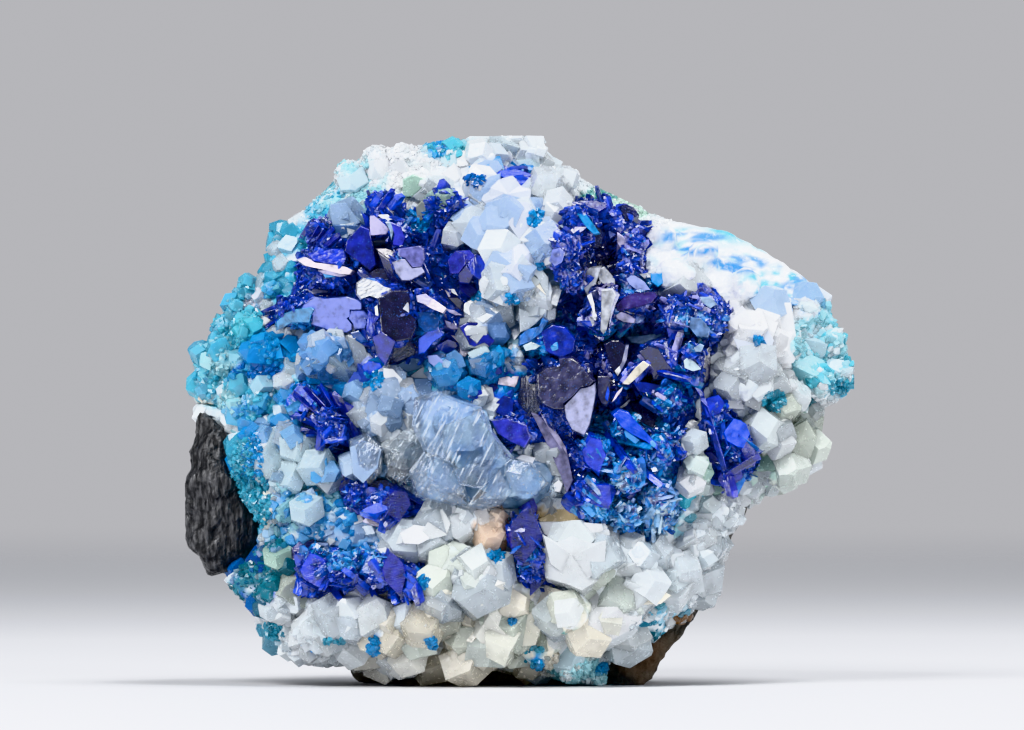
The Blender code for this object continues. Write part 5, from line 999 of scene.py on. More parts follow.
def ground_of(name, node, voxel, rounds, rough, wave, chips=0.0):
    """A copy of a solid, remeshed, softened by some rounds, roughened in waves and chipped, all in
    millimetres. Returns it with the places on it and their normals."""
    clear_selection()
    made = bpy.data.objects.new(name, frame["nodes"][node].data.copy())
    bpy.context.scene.collection.objects.link(made)
    made.data.materials.clear()
    made.select_set(True)
    bpy.context.view_layer.objects.active = made
    bpy.ops.object.mode_set(mode="EDIT")
    bpy.ops.mesh.select_all(action="SELECT")
    bpy.ops.mesh.remove_doubles(threshold=1e-7)
    bpy.ops.object.mode_set(mode="OBJECT")
    remesh = made.modifiers.new("Remesh", "REMESH")
    remesh.mode = "VOXEL"
    remesh.voxel_size = voxel * MM
    soft = made.modifiers.new("Smooth", "SMOOTH")
    soft.iterations = rounds
    swell = made.modifiers.new("Swell", "DISPLACE")
    swell.mid_level = 0.0
    swell.strength = SWELL * MM
    for step in list(made.modifiers):
        bpy.ops.object.modifier_apply(modifier=step.name)
    places, normals = places_on(made.data)
    grain = bpy.data.textures.new(name + "_grain", "CLOUDS")
    grain.noise_scale = wave * MM
    grain.noise_depth = 3
    push = made.modifiers.new("Displace", "DISPLACE")
    push.texture = grain
    push.texture_coords = "LOCAL"
    push.strength = 2 * rough * MM
    bpy.ops.object.modifier_apply(modifier=push.name)
    if chips:
        breaks = bpy.data.textures.new(name + "_breaks", "VORONOI")
        breaks.noise_scale = 2.2 * wave * MM
        dent = made.modifiers.new("Breaks", "DISPLACE")
        dent.texture = breaks
        dent.texture_coords = "LOCAL"
        dent.mid_level = 0.3
        dent.strength = -chips * MM
        bpy.ops.object.modifier_apply(modifier=dent.name)
    points = np.clip(np.array([vertex.co for vertex in made.data.vertices]) / MM, BOX_LOW, BOX_HIGH)
    made.data.vertices.foreach_set("co", (points * MM).ravel())
    made.data.update()
    return made, places, normals


def places_on(mesh):
    """Centre and normal of every face, in millimetres."""
    centres = np.zeros(len(mesh.polygons) * 3)
    normals = np.zeros(len(mesh.polygons) * 3)
    mesh.polygons.foreach_get("center", centres)
    mesh.polygons.foreach_get("normal", normals)
    return centres.reshape(-1, 3) / MM, normals.reshape(-1, 3)


NEIGHBOURS = list(product((-1, 0, 1), repeat=3))
ROOM = 1.2  # millimetres that have to be free in front of a crystal


def is_open(place, normal, room):
    """True where nothing stands close in front of a place."""
    start = Vector(place) + Vector(normal) * 0.05
    return SOLIDS.ray_cast(start, Vector(normal), room)[0] is None


def spaced(places, normals, spacing, random, back=0.35):
    """Order numbers of places at about that spacing which face the open. Back is how far a normal may
    turn away from the viewer, and 1 is right away."""
    kept = {}
    for i in random.permutation(len(places)):
        x, y, z = (places[i] / spacing).astype(int)
        around = [kept.get((x + a, y + b, z + c)) for a, b, c in NEIGHBOURS]
        near = [j for j in around if j is not None]
        if normals[i, 1] < back and all(math.dist(places[i], places[j]) > 0.9 * spacing for j in near):
            kept[(x, y, z)] = i
    return [i for i in kept.values() if is_open(places[i], normals[i], ROOM)]


def colour_ground(made, base, spots, seed):
    """Gives the ground its colours and the marks that its material reads."""
    mesh = made.data
    random = np.random.default_rng(seed)
    points = np.array([vertex.co for vertex in mesh.vertices]) / MM
    mark(mesh, "tint", "FLOAT_COLOR", "POINT", with_alpha(soft_tints(base, spots, points, random)))
    mark(mesh, "facet", "FLOAT", "POINT", np.full(len(points), 0.5))
    mark(mesh, "clarity", "FLOAT", "POINT", np.zeros(len(points)))
    mark(mesh, "sparkle", "FLOAT", "POINT", np.ones(len(points)))
    mark(mesh, "local", "FLOAT_VECTOR", "POINT", points)


# Materials

def add_node(tree, kind, settings=None, links=None):
    """Adds a node. A setting goes to the input of its name or number, or else to the node itself, and a
    link names an input and the output that feeds it."""
    made = tree.nodes.new(kind)
    for name, value in (settings or {}).items():
        if isinstance(name, int) or name in made.inputs:
            made.inputs[name].default_value = value
        else:
            setattr(made, name, value)
    for name, source in (links or {}).items():
        tree.links.new(source, made.inputs[name])
    return made


def new_material(name, settings):
    """An empty material with one Principled shader of those settings."""
    made = bpy.data.materials.new(name)
    made.use_nodes = True
    tree = made.node_tree
    tree.nodes.clear()
    shader = add_node(tree, "ShaderNodeBsdfPrincipled", settings)
    add_node(tree, "ShaderNodeOutputMaterial", {}, {"Surface": shader.outputs["BSDF"]})
    return made, tree, shader


def facet_colour(tree, low, high, cloud, dim=0.82, lit=1.12):
    """The crystal's own colour, lighter and darker from facet to facet at random, partly its own tone and
    partly painted glint and shade of facets, and clouded inside. Cloud is the size of the clouds in
    millimetres.
    Returns it with the crystal's own coordinates, in millimetres too."""
    tint = add_node(tree, "ShaderNodeAttribute", {"attribute_name": "tint"})
    facet = add_node(tree, "ShaderNodeAttribute", {"attribute_name": "facet"})
    local = add_node(tree, "ShaderNodeAttribute", {"attribute_name": "local"})
    level = add_node(
        tree, "ShaderNodeMapRange", {"To Min": low, "To Max": high}, {"Value": facet.outputs["Fac"]}
    )
    haze = add_node(
        tree, "ShaderNodeTexNoise", {"Scale": 1.0 / cloud, "Detail": 3.0},
        {"Vector": local.outputs["Vector"]},
    )
    veil = add_node(
        tree, "ShaderNodeMapRange", {"From Min": 0.3, "From Max": 0.7, "To Min": dim, "To Max": lit},
        {"Value": haze.outputs["Fac"]},
    )
    light = add_node(
        tree, "ShaderNodeMath", {"operation": "MULTIPLY"},
        {0: level.outputs["Result"], 1: veil.outputs["Result"]},
    )
    scaled = add_node(
        tree, "ShaderNodeVectorMath", {"operation": "SCALE"},
        {0: tint.outputs["Color"], "Scale": light.outputs["Value"]},
    )
    return scaled.outputs["Vector"], local.outputs["Vector"]


def sparkle_normal(tree, local, size, tilt):
    """Normal of a ground that is all small crystals: one flat facet beside the other, each its own way.
    Single crystals have no sparkle mark, so there it's the plain normal."""
    cells = add_node(tree, "ShaderNodeTexVoronoi", {"Scale": 1.0 / size}, {"Vector": local})
    share = add_node(tree, "ShaderNodeAttribute", {"attribute_name": "sparkle"})
    amount = add_node(tree, "ShaderNodeMath", {"operation": "MULTIPLY", 1: tilt}, {0: share.outputs["Fac"]})
    centred = add_node(
        tree, "ShaderNodeVectorMath", {"operation": "SUBTRACT", 1: (0.5, 0.5, 0.5)},
        {0: cells.outputs["Color"]},
    )
    turned = add_node(
        tree, "ShaderNodeVectorMath", {"operation": "SCALE"},
        {0: centred.outputs["Vector"], "Scale": amount.outputs["Value"]},
    )
    surface = add_node(tree, "ShaderNodeNewGeometry")
    total = add_node(
        tree, "ShaderNodeVectorMath", {"operation": "ADD"},
        {0: surface.outputs["Normal"], 1: turned.outputs["Vector"]},
    )
    unit = add_node(tree, "ShaderNodeVectorMath", {"operation": "NORMALIZE"}, {0: total.outputs["Vector"]})
    return unit.outputs["Vector"]


# Sizes of the patterns, in millimetres
SPECK = 1 / 9  # azure dust on the linarite
STRIAE = 0.625  # growth lines of the linarite, before they are drawn out
FROST = 0.4545  # uneven gloss of the quartz faces
GRAIN_WEAR = 0.5  # uneven gloss of the turquoise grains
GROWTH_LINE = 0.1923  # white lines across the clear crystal
ROCK_PATCH = 2.381
RUST_PATCH = 9.09
ROCK_GRIT = 0.6667
FIBRE = 0.3846  # width of the galena's fibres


# A dark body under bright, flat, slightly lined faces, so that they mirror the lights in lavender
def linarite():
    """Linarite, grown as tabular crystals: a deep blue lead and copper sulphate of high index."""
    made, tree, shader = new_material("Linarite crystal", {"IOR": 1.84})
    # Facets from half to 1.4 times the tint: partly painted glint and shade of facets
    colour, local = facet_colour(tree, 0.5, 1.4, 0.7, 0.35, 1.3)
    dust = add_node(tree, "ShaderNodeTexNoise", {"Scale": 1.0 / SPECK, "Detail": 2.0}, {"Vector": local})
    specks = add_node(
        tree, "ShaderNodeMapRange", {"From Min": 0.63, "From Max": 0.73, "To Max": 0.4},
        {"Value": dust.outputs["Fac"]},
    )
    mix = add_node(
        tree, "ShaderNodeMix", {"data_type": "RGBA", 7: paint("blue_speck")},
        {0: specks.outputs["Result"], 6: colour},
    )
    tree.links.new(mix.outputs[2], shader.inputs["Base Color"])
    stretched = add_node(tree, "ShaderNodeMapping", {"Scale": (1.0, 7.0, 0.6)}, {"Vector": local})
    lines = add_node(
        tree, "ShaderNodeTexNoise", {"Scale": 1.0 / STRIAE, "Detail": 3.0},
        {"Vector": stretched.outputs["Vector"]},
    )
    gloss = add_node(
        tree, "ShaderNodeMapRange", {"From Min": 0.3, "From Max": 0.75, "To Min": 0.06, "To Max": 0.26},
        {"Value": lines.outputs["Fac"]},
    )
    tree.links.new(gloss.outputs["Result"], shader.inputs["Roughness"])
    bump = add_node(
        tree, "ShaderNodeBump", {"Strength": 0.35, "Distance": 0.2 * MM},
        {"Height": lines.outputs["Fac"], "Normal": sparkle_normal(tree, local, 0.26, 1.5)},
    )
    tree.links.new(bump.outputs["Normal"], shader.inputs["Normal"])
    return made


# White to bluish bodies in which light wanders a little, with glassy faces over them
def milky_quartz():
    """Milky quartz, grown as crowded points: hazy inside, some crystals clearer than others."""
    made, tree, shader = new_material(
        "Milky quartz",
        {
            "IOR": 1.544, "Subsurface Weight": 0.3, "Subsurface Scale": 0.6 * MM,
            "Subsurface Radius": (1.0, 1.0, 1.0),
        },
    )
    colour, local = facet_colour(tree, 0.9, 1.06, 1.8)
    tree.links.new(colour, shader.inputs["Base Color"])
    clarity = add_node(tree, "ShaderNodeAttribute", {"attribute_name": "clarity"})
    tree.links.new(clarity.outputs["Fac"], shader.inputs["Transmission Weight"])
    frost = add_node(tree, "ShaderNodeTexNoise", {"Scale": 1.0 / FROST, "Detail": 4.0}, {"Vector": local})
    gloss = add_node(
        tree, "ShaderNodeMapRange", {"From Min": 0.35, "From Max": 0.7, "To Min": 0.1, "To Max": 0.34},
        {"Value": frost.outputs["Fac"]},
    )
    tree.links.new(gloss.outputs["Result"], shader.inputs["Roughness"])
    bump = add_node(
        tree, "ShaderNodeBump", {"Strength": 0.1, "Distance": 0.1 * MM},
        {"Height": frost.outputs["Fac"], "Normal": sparkle_normal(tree, local, 0.5, 0.45)},
    )
    tree.links.new(bump.outputs["Normal"], shader.inputs["Normal"])
    return made


# Small glassy grains whose colour glows from within
def turquoise_druse():
    """Quartz druse stained by copper, grown as crowded grains."""
    made, tree, shader = new_material(
        "Turquoise druse",
        {
            "IOR": 1.56, "Subsurface Weight": 0.3, "Subsurface Scale": 1.0 * MM,
            "Subsurface Radius": (0.4, 0.9, 1.0), "Transmission Weight": 0.25,
        },
    )
    colour, local = facet_colour(tree, 0.7, 1.2, 0.9)
    tree.links.new(colour, shader.inputs["Base Color"])
    wear = add_node(
        tree, "ShaderNodeTexNoise", {"Scale": 1.0 / GRAIN_WEAR, "Detail": 3.0}, {"Vector": local}
    )
    gloss = add_node(
        tree, "ShaderNodeMapRange", {"From Min": 0.35, "From Max": 0.7, "To Min": 0.06, "To Max": 0.3},
        {"Value": wear.outputs["Fac"]},
    )
    tree.links.new(gloss.outputs["Result"], shader.inputs["Roughness"])
    tree.links.new(sparkle_normal(tree, local, 0.4, 0.8), shader.inputs["Normal"])
    return made


# See-through, with a faint blue of its own and white growth lines that slant across it
def clear_quartz():
    """Clear quartz, grown as large striated crystals."""
    made, tree, shader = new_material(
        "Clear quartz", {"IOR": 1.544, "Roughness": 0.04, "Base Color": paint("clear_body")}
    )
    place = add_node(tree, "ShaderNodeTexCoord")
    slanted = add_node(
        tree, "ShaderNodeMapping",
        {"vector_type": "TEXTURE", "Scale": (1.0, 1.0, 14.0), "Rotation": (0, math.radians(26), 0)},
        {"Vector": place.outputs["Object"]},
    )
    lines = add_node(
        tree, "ShaderNodeTexNoise", {"Scale": 1.0 / (GROWTH_LINE * MM), "Detail": 3.0},
        {"Vector": slanted.outputs["Vector"]},
    )
    haze = add_node(
        tree, "ShaderNodeMapRange", {"From Min": 0.56, "From Max": 0.68, "To Min": 0.98, "To Max": 0.5},
        {"Value": lines.outputs["Fac"]},
    )
    tree.links.new(haze.outputs["Result"], shader.inputs["Transmission Weight"])
    bump = add_node(
        tree, "ShaderNodeBump", {"Strength": 0.3, "Distance": 0.1 * MM}, {"Height": lines.outputs["Fac"]}
    )
    tree.links.new(bump.outputs["Normal"], shader.inputs["Normal"])
    return made


# Dark olive-grey and dull, paler in patches, with rusty stains
def host_rock():
    """Host rock, broken by hand, so that its surface is rough and gritty."""
    made, tree, shader = new_material("Host rock", {"Roughness": 0.85})
    place = add_node(tree, "ShaderNodeTexCoord").outputs["Object"]
    patches = add_node(
        tree, "ShaderNodeTexNoise", {"Scale": 1.0 / (ROCK_PATCH * MM), "Detail": 8.0}, {"Vector": place}
    )
    ramp = add_node(tree, "ShaderNodeValToRGB", {}, {"Fac": patches.outputs["Fac"]})
    for stop, position, name in zip(ramp.color_ramp.elements, (0.38, 0.68), ("rock_dark", "rock_pale")):
        stop.position = position
        stop.color = paint(name)
    rust = add_node(
        tree, "ShaderNodeTexNoise", {"Scale": 1.0 / (RUST_PATCH * MM), "Detail": 4.0}, {"Vector": place}
    )
    stain = add_node(
        tree, "ShaderNodeMapRange", {"From Min": 0.58, "From Max": 0.72, "To Max": 0.35},
        {"Value": rust.outputs["Fac"]},
    )
    mix = add_node(
        tree, "ShaderNodeMix", {"data_type": "RGBA", 7: paint("rust")},
        {0: stain.outputs["Result"], 6: ramp.outputs["Color"]},
    )
    tree.links.new(mix.outputs[2], shader.inputs["Base Color"])
    grit = add_node(
        tree, "ShaderNodeTexNoise", {"Scale": 1.0 / (ROCK_GRIT * MM), "Detail": 8.0}, {"Vector": place}
    )
    bump = add_node(
        tree, "ShaderNodeBump", {"Strength": 1.0, "Distance": 0.6 * MM}, {"Height": grit.outputs["Fac"]}
    )
    tree.links.new(bump.outputs["Normal"], shader.inputs["Normal"])
    return made


# Charcoal metal, with brighter and glossier streaks along its upright fibres
def galena():
    """Galena, sheared into fibres."""
    made, tree, shader = new_material("Galena", {"Metallic": 0.6})
    place = add_node(tree, "ShaderNodeTexCoord").outputs["Object"]
    along = add_node(
        tree, "ShaderNodeMapping", {"Scale": (1.0, 1.0, 0.2), "Rotation": (0, math.radians(12), 0)},
        {"Vector": place},
    )
    fibres = add_node(
        tree, "ShaderNodeTexNoise", {"Scale": 1.0 / (FIBRE * MM), "Detail": 6.0},
        {"Vector": along.outputs["Vector"]},
    )
    ramp = add_node(tree, "ShaderNodeValToRGB", {}, {"Fac": fibres.outputs["Fac"]})
    names = ("galena_dark", "galena_streak")
    for stop, position, name in zip(ramp.color_ramp.elements, (0.42, 0.72), names):
        stop.position = position
        stop.color = paint(name)
    tree.links.new(ramp.outputs["Color"], shader.inputs["Base Color"])
    gloss = add_node(
        tree, "ShaderNodeMapRange", {"To Min": 0.6, "To Max": 0.25}, {"Value": fibres.outputs["Fac"]}
    )
    tree.links.new(gloss.outputs["Result"], shader.inputs["Roughness"])
    bump = add_node(
        tree, "ShaderNodeBump", {"Strength": 0.8, "Distance": 0.3 * MM}, {"Height": fibres.outputs["Fac"]}
    )
    tree.links.new(bump.outputs["Normal"], shader.inputs["Normal"])
    return made


# The finish of each material slot
FINISHES = {
    "linarite": linarite(),
    "milky_quartz": milky_quartz(),
    "turquoise_druse": turquoise_druse(),
    "clear_quartz": clear_quartz(),
    "host_rock": host_rock(),
    "galena": galena(),
}


def settle(made, slot, node):
    """Finishes a piece, fixes it to the specimen and hides the solid that it stands for."""
    made.data.materials.append(FINISHES[slot])
    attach(made, "root")
    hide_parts(node)


# Linarite

LINARITE_BASE = {"navy": 0.2, "royal": 0.45, "indigo": 0.15, "cobalt": 0.26, "violet": 0.06, "sky": 0.04}
OWN_COLOUR = 0.35  # share of a small crystal's colour that isn't its neighbours'


def towards_viewer(normal, share, spread, random):
    """A direction between the ground's normal and the viewer, with some disorder."""
    return Vector(normal) * (1 - share) + Vector((0, -share, 0)) + Vector(random.normal(0, spread, 3))


def drift(places, size, random):
    """Four numbers from 0 to 1 for each place, which drift from patch to patch of that size."""
    return np.array([clouds(places, size, random) for _ in range(4)]).T


def free_places(growth, places, normals, faces, spacing):
    """Order numbers of open places that no drawn face hides, with colours that drift over the druse
    and have some of each crystal's own."""
    chosen = np.array(spaced(places, normals, spacing, growth.random))
    chosen = chosen[~covered(places[chosen], [face[3] for face in faces])]
    shared = soft_tints(LINARITE_BASE, LINARITE_SPOTS, places[chosen], growth.random)
    own = tints(LINARITE_BASE, LINARITE_SPOTS, places[chosen], growth.random)
    return chosen, OWN_COLOUR * own + (1 - OWN_COLOUR) * shared


def add_plates(growth, plates):
    """Large crystals at places of their own, each a table turned to the viewer."""
    for column, row, wide, high, thick, twist, lean_x, lean_z, lift, colour in plates:
        direction = Vector((lean_x, -1.0, lean_z)).normalized()
        place = front(column, row) + direction * lift
        growth.add(
            growth.pick(TABLES), place, axes_along(direction, twist),
            (0.7 * wide, 0.7 * high, thick + lift), linear(colour),
        )


def add_faces(growth, faces):
    """Large crystals with drawn front faces."""
    for colour, lean, lift, outline in faces:
        growth.draw(outline, lean, lift, 1.2 + lift, linear(colour))


def add_laths(growth, laths):
    """Long crystals from a foot on the solid to a tip above it."""
    for foot_column, foot_row, tip_column, tip_row, wide, thick, rise, colour in laths:
        foot = front(foot_column, foot_row)
        tip = front(tip_column, tip_row)
        tip.y = min(tip.y, foot.y) - rise
        along = tip - foot
        growth.add(
            growth.pick(LATHS), tip, axes_along(along, growth.random.uniform(-30, 30)),
            (0.75 * wide, 0.75 * thick, along.length), linear(colour),
        )


def add_chips(growth, places, normals, faces, spacing, small, large, spread):
    """Small tables that lie all ways between the blades."""
    chosen, colours = free_places(growth, places, normals, faces, spacing)
    for i, colour in zip(chosen, colours):
        direction = towards_viewer(normals[i], 0.35, spread, growth.random)
        wide = growth.random.uniform(small, large)
        high = wide * growth.random.uniform(0.5, 1.1)
        place = Vector(places[i]) + direction.normalized() * 0.4 * wide
        growth.add(
            growth.pick(CHIPS), place, axes_along(direction, growth.random.uniform(0, 360)),
            (wide, high, 1.3 * wide), colour,
        )


def add_blades(growth, places, normals, faces, spacing, short, long, spread):
    """Blades that fill the druse, those of one patch nearly parallel."""
    chosen, colours = free_places(growth, places, normals, faces, spacing)
    leans = drift(places[chosen], BLADE_PATCH, growth.random)
    for i, colour, lean in zip(chosen, colours, leans):
        direction = towards_viewer(normals[i], 0.2, spread, growth.random) + 3.0 * Vector(lean[:3] - 0.5)
        length = growth.random.uniform(short, long)
        place = Vector(places[i]) + direction.normalized() * 0.35 * length
        shape = growth.pick(LATHS)
        roll = 400 * lean[3] + growth.random.uniform(-15, 15)
        size = (0.3 * length, 0.1 * length, 1.2 * length)
        growth.add(shape, place, axes_along(direction, roll), size, colour)


for order, node in enumerate(LINARITE_GROUPS):
    base, places, normals = ground_of(node + "_ground", node, voxel=0.35, rounds=6, rough=0.14, wave=0.8)
    colour_ground(base, LINARITE_BASE, LINARITE_SPOTS, 60 + order)
    settle(base, "linarite", node)
    growth = Growth(70 + order)
    faces = LINARITE_FACES.get(node, [])
    add_plates(growth, LINARITE_PLATES.get(node, []))
    add_faces(growth, faces)
    add_laths(growth, LINARITE_LATHS.get(node, []))
    add_blades(growth, places, normals, faces, spacing=0.85, short=1.1, long=2.0, spread=0.15)
    add_blades(growth, places, normals, faces, spacing=0.5, short=0.5, long=1.0, spread=0.35)
    add_chips(growth, places, normals, faces, spacing=0.7, small=0.15, large=0.35, spread=0.6)
    settle(growth.build(node + "_crystals"), "linarite", node)


# Quartz

QUARTZ_BASE = {"milk": 0.4, "mist": 0.3, "white": 0.2, "ice": 0.1}


def add_quartz_faces(growth):
    """The crystals with drawn front faces."""
    for colour, clarity, lean, lift, outline, *peak in QUARTZ_FACES:
        growth.draw(outline, lean, lift, 2.0 + lift, linear(colour), clarity, *peak)


def add_quartz_points(growth):
    """The large crystals at places of their own."""
    for column, row, radius, lean_x, lean_z, colour, clarity in QUARTZ_POINTS:
        direction = Vector((lean_x, -1.0, lean_z)).normalized()
        place = front(column, row) + direction * 0.35
        shapes = BLOCKS if growth.random.random() < 0.5 else POINTS
        growth.add(
            growth.pick(shapes), place, axes_along(direction, growth.random.uniform(0, 60)),
            (1.3 * radius, 1.2 * radius, 2.1 * radius), linear(colour), 0.1 + 0.7 * clarity,
        )


def grain_radius(places):
    """Radius of the crystals that fill the ground at each place."""
    radius = np.full(len(places), 0.9)
    for *ellipse, value in QUARTZ_GRAIN:
        radius[out_of(places, *ellipse) < 1.0] = value
    return radius


def add_quartz_fill(growth, places, normals):
    """Crystals of each place's own size that fill the ground, those of one patch nearly parallel."""
    radii = grain_radius(places)
    radii[covered(places, [face[4] for face in QUARTZ_FACES])] = 0.0
    for radius in np.unique(radii[radii > 0.0]):
        inside = np.flatnonzero(radii == radius)
        chosen = inside[spaced(places[inside], normals[inside], 1.1 * radius, growth.random)]
        wide_spots = [one for one in QUARTZ_SPOTS if min(one[2], one[3]) * PIXEL > radius]
        colours = soft_tints(QUARTZ_BASE, wide_spots, places[chosen], growth.random)
        leans = drift(places[chosen], QUARTZ_PATCH, growth.random)
        for i, colour, lean in zip(chosen, colours, leans):
            direction = towards_viewer(normals[i], 0.4, 0.15, growth.random) + 1.2 * Vector(lean[:3] - 0.5)
            size = radius * growth.random.uniform(0.8, 1.4)
            shapes = BLOCKS if radius > 0.7 else POINTS if growth.random.random() < 0.5 else GRAINS
            place = Vector(places[i]) + direction.normalized() * growth.random.uniform(0.1, 0.4) * size
            shape = growth.pick(shapes)
            axes = axes_along(direction, 200 * lean[3] + growth.random.uniform(-10, 10))
            clarity = growth.random.uniform(0.15, 0.6)
            growth.add(shape, place, axes, (size, size, 1.6 * size), colour, clarity)


STAINS = ("azure", "deep_azure", "turquoise")
STAIN_REACH = 15  # half width in pixels of the widest spot that is a stain


def add_stains(growth, tree):
    """Tiny grains of colour in the small spots, sown on the crystals that face the viewer."""
    for column, row, wide, high, name, share in QUARTZ_SPOTS:
        if name not in STAINS or wide > STAIN_REACH:
            continue
        for _ in range(int(0.6 * share * wide * high) + 8):
            turn = growth.random.uniform(0, 2 * math.pi)
            out = 0.8 * growth.random.random() ** 0.5
            x, z = spot(column + wide * out * math.cos(turn), row + high * out * math.sin(turn))
            met, normal, _, _ = tree.ray_cast(Vector((x, FRONT_Y, z)), INWARDS)
            if met is None:
                continue
            direction = towards_viewer(normal, 0.2, 0.5, growth.random)
            size = growth.random.uniform(0.15, 0.45)
            shape = growth.pick(CHIPS + GRAINS)
            place = met + direction.normalized() * 0.3 * size
            axes = axes_along(direction, growth.random.uniform(0, 360))
            tint = linear(name) * growth.random.uniform(0.6, 1.2)
            growth.add(shape, place, axes, (size, 0.7 * size, size), tint)


base, places, normals = ground_of(
    "quartz_ground", "quartz_matrix", voxel=0.45, rounds=2, rough=0.2, wave=1.2
)
colour_ground(base, QUARTZ_BASE, QUARTZ_SPOTS, 81)
settle(base, "milky_quartz", "quartz_matrix")
points = Growth(82)
add_quartz_faces(points)
add_quartz_points(points)
settle(points.build("quartz_points"), "milky_quartz", "quartz_matrix")
druse = Growth(83)
add_quartz_fill(druse, places, normals)
settle(druse.build("quartz_druse"), "milky_quartz", "quartz_matrix")
bodies = np.concatenate(points.points + druse.points).tolist()
sides = points.faces + [[i + points.count for i in face] for face in druse.faces]
stains = Growth(84)
add_stains(stains, BVHTree.FromPolygons(bodies, sides))
settle(stains.build("quartz_stains"), "turquoise_druse", "quartz_matrix")


# Turquoise crust

DRUSE_BASE = {"turquoise": 0.35, "cyan": 0.3, "pale_cyan": 0.15, "azure": 0.12, "teal": 0.08}

base, places, normals = ground_of(
    "turquoise_ground", "turquoise_crust", voxel=0.35, rounds=3, rough=0.12, wave=0.7
)
colour_ground(base, DRUSE_BASE, DRUSE_SPOTS, 91)
settle(base, "turquoise_druse", "turquoise_crust")
growth = Growth(92)
for spacing, shapes in ((1.8, BLOCKS + POINTS), (0.9, POINTS), (0.6, GRAINS)):
    chosen = spaced(places, normals, spacing, growth.random, back=0.6)
    colours = soft_tints(DRUSE_BASE, DRUSE_SPOTS, places[chosen], growth.random)
    for i, colour in zip(chosen, colours):
        direction = towards_viewer(normals[i], 0.2, 0.35, growth.random)
        size = 0.6 * spacing * growth.random.uniform(0.7, 1.2)
        place = Vector(places[i]) + direction.normalized() * 0.5 * size
        shape = growth.pick(shapes)
        axes = axes_along(direction, growth.random.uniform(0, 60))
        growth.add(shape, place, axes, (size, size, 1.6 * size), colour)
settle(growth.build("turquoise_grains"), "turquoise_druse", "turquoise_crust")


# Clear crystal

CLOUDY_BASE = {"blue_grey": 0.5, "steel": 0.4, "ice": 0.3, "azure": 0.1}

base, _, _ = ground_of("clear_ground", "clear_crystal", voxel=0.4, rounds=3, rough=0.1, wave=1.4)
colour_ground(base, CLOUDY_BASE, QUARTZ_SPOTS, 94)
settle(base, "milky_quartz", "clear_crystal")
growth = Growth(95)
for lean, lift, outline, peak, rise in CLEAR_FACES:
    growth.draw(outline, lean, lift, 1.6, linear("white"), 1.0, peak, rise)
settle(growth.build("clear_points"), "clear_quartz", "clear_crystal")


# Galena and host rock

base, _, _ = ground_of("galena_fibres", "galena_lump", voxel=0.3, rounds=1, rough=0.8, wave=2.4)
settle(base, "galena", "galena_lump")
base, _, _ = ground_of(
    "host_rock_broken", "host_rock", voxel=0.45, rounds=1, rough=0.5, wave=2.2, chips=1.8
)
settle(base, "host_rock", "host_rock")


# Studio

def add_light(name, place, size, power, aim=(0.0, 0.0, 0.025)):
    """A soft light that faces the specimen."""
    lamp = bpy.data.lights.new(name, "AREA")
    lamp.shape = "RECTANGLE"
    lamp.size = size[0]
    lamp.size_y = size[1]
    lamp.energy = power
    made = bpy.data.objects.new(name, lamp)
    made.location = place
    made.rotation_euler = (Vector(aim) - Vector(place)).to_track_quat("-Z", "Y").to_euler()
    bpy.context.scene.collection.objects.link(made)


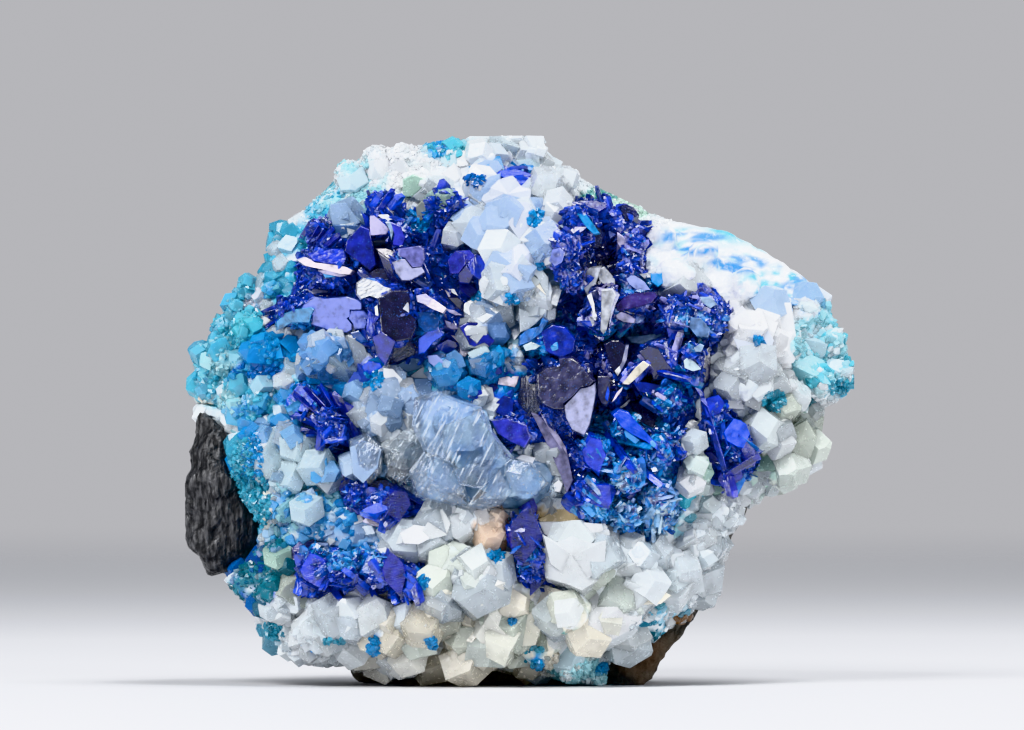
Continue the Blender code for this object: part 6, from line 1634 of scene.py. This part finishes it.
def make_floor():
    """A pale floor that fades into the backdrop."""
    clear_selection()
    bpy.ops.mesh.primitive_plane_add(size=6.0)
    floor = bpy.context.object
    floor.name = "floor"
    made, tree, shader = new_material("Pale floor", {"Roughness": 0.6, "Base Color": paint("pale_floor")})
    place = add_node(tree, "ShaderNodeTexCoord")
    far = add_node(tree, "ShaderNodeVectorMath", {"operation": "LENGTH"}, {0: place.outputs["Object"]})
    fade = add_node(
        tree, "ShaderNodeMapRange", {"From Min": 0.1, "From Max": 1.0, "interpolation_type": "SMOOTHSTEP"},
        {"Value": far.outputs["Value"]},
    )
    glass = add_node(tree, "ShaderNodeBsdfTransparent")
    mix = add_node(
        tree, "ShaderNodeMixShader", {},
        {0: fade.outputs["Result"], 1: shader.outputs["BSDF"], 2: glass.outputs["BSDF"]},
    )
    out = tree.nodes["Material Output"]
    tree.links.new(mix.outputs["Shader"], out.inputs["Surface"])
    floor.data.materials.append(made)


def make_world():
    """A pale backdrop to the eye, and a dim room to the crystals."""
    world = bpy.data.worlds.new("Studio")
    bpy.context.scene.world = world
    world.use_nodes = True
    tree = world.node_tree
    tree.nodes.clear()
    path = add_node(tree, "ShaderNodeLightPath")
    room = add_node(tree, "ShaderNodeBackground", {"Color": paint("room"), "Strength": 0.36})
    backdrop = add_node(tree, "ShaderNodeBackground", {"Color": paint("backdrop"), "Strength": 1.0})
    mix = add_node(
        tree, "ShaderNodeMixShader", {},
        {
            0: path.outputs["Is Camera Ray"], 1: room.outputs["Background"],
            2: backdrop.outputs["Background"],
        },
    )
    add_node(tree, "ShaderNodeOutputWorld", {}, {"Surface": mix.outputs["Shader"]})


CAMERA_FAR = 1.0  # metres from the camera to the specimen


def make_camera():
    """A long lens, level with the middle of the photograph, that covers its width."""
    camera = bpy.data.cameras.new("Camera")
    camera.sensor_width = 36.0
    camera.lens = camera.sensor_width * CAMERA_FAR / (PHOTO_WIDTH * PIXEL * MM)
    camera.clip_start = 0.05
    camera.clip_end = 20.0
    made = bpy.data.objects.new("Camera", camera)
    x, z = spot(PHOTO_WIDTH / 2, PHOTO_HEIGHT / 2)
    made.location = (x * MM, -CAMERA_FAR, z * MM)
    made.rotation_euler = (math.radians(90), 0, 0)
    bpy.context.scene.collection.objects.link(made)
    bpy.context.scene.camera = made


add_light("Key", (-0.22, -0.42, 0.42), (0.22, 0.22), 3.4)
add_light("Top", (0.16, -0.10, 0.50), (0.30, 0.16), 2.6)
add_light("Right", (0.45, -0.30, 0.16), (0.12, 0.30), 1.3)
add_light("Left", (-0.45, -0.22, 0.10), (0.10, 0.28), 1.0)
make_world()
make_floor()
make_camera()
bpy.context.scene.view_settings.view_transform = "Khronos PBR Neutral"
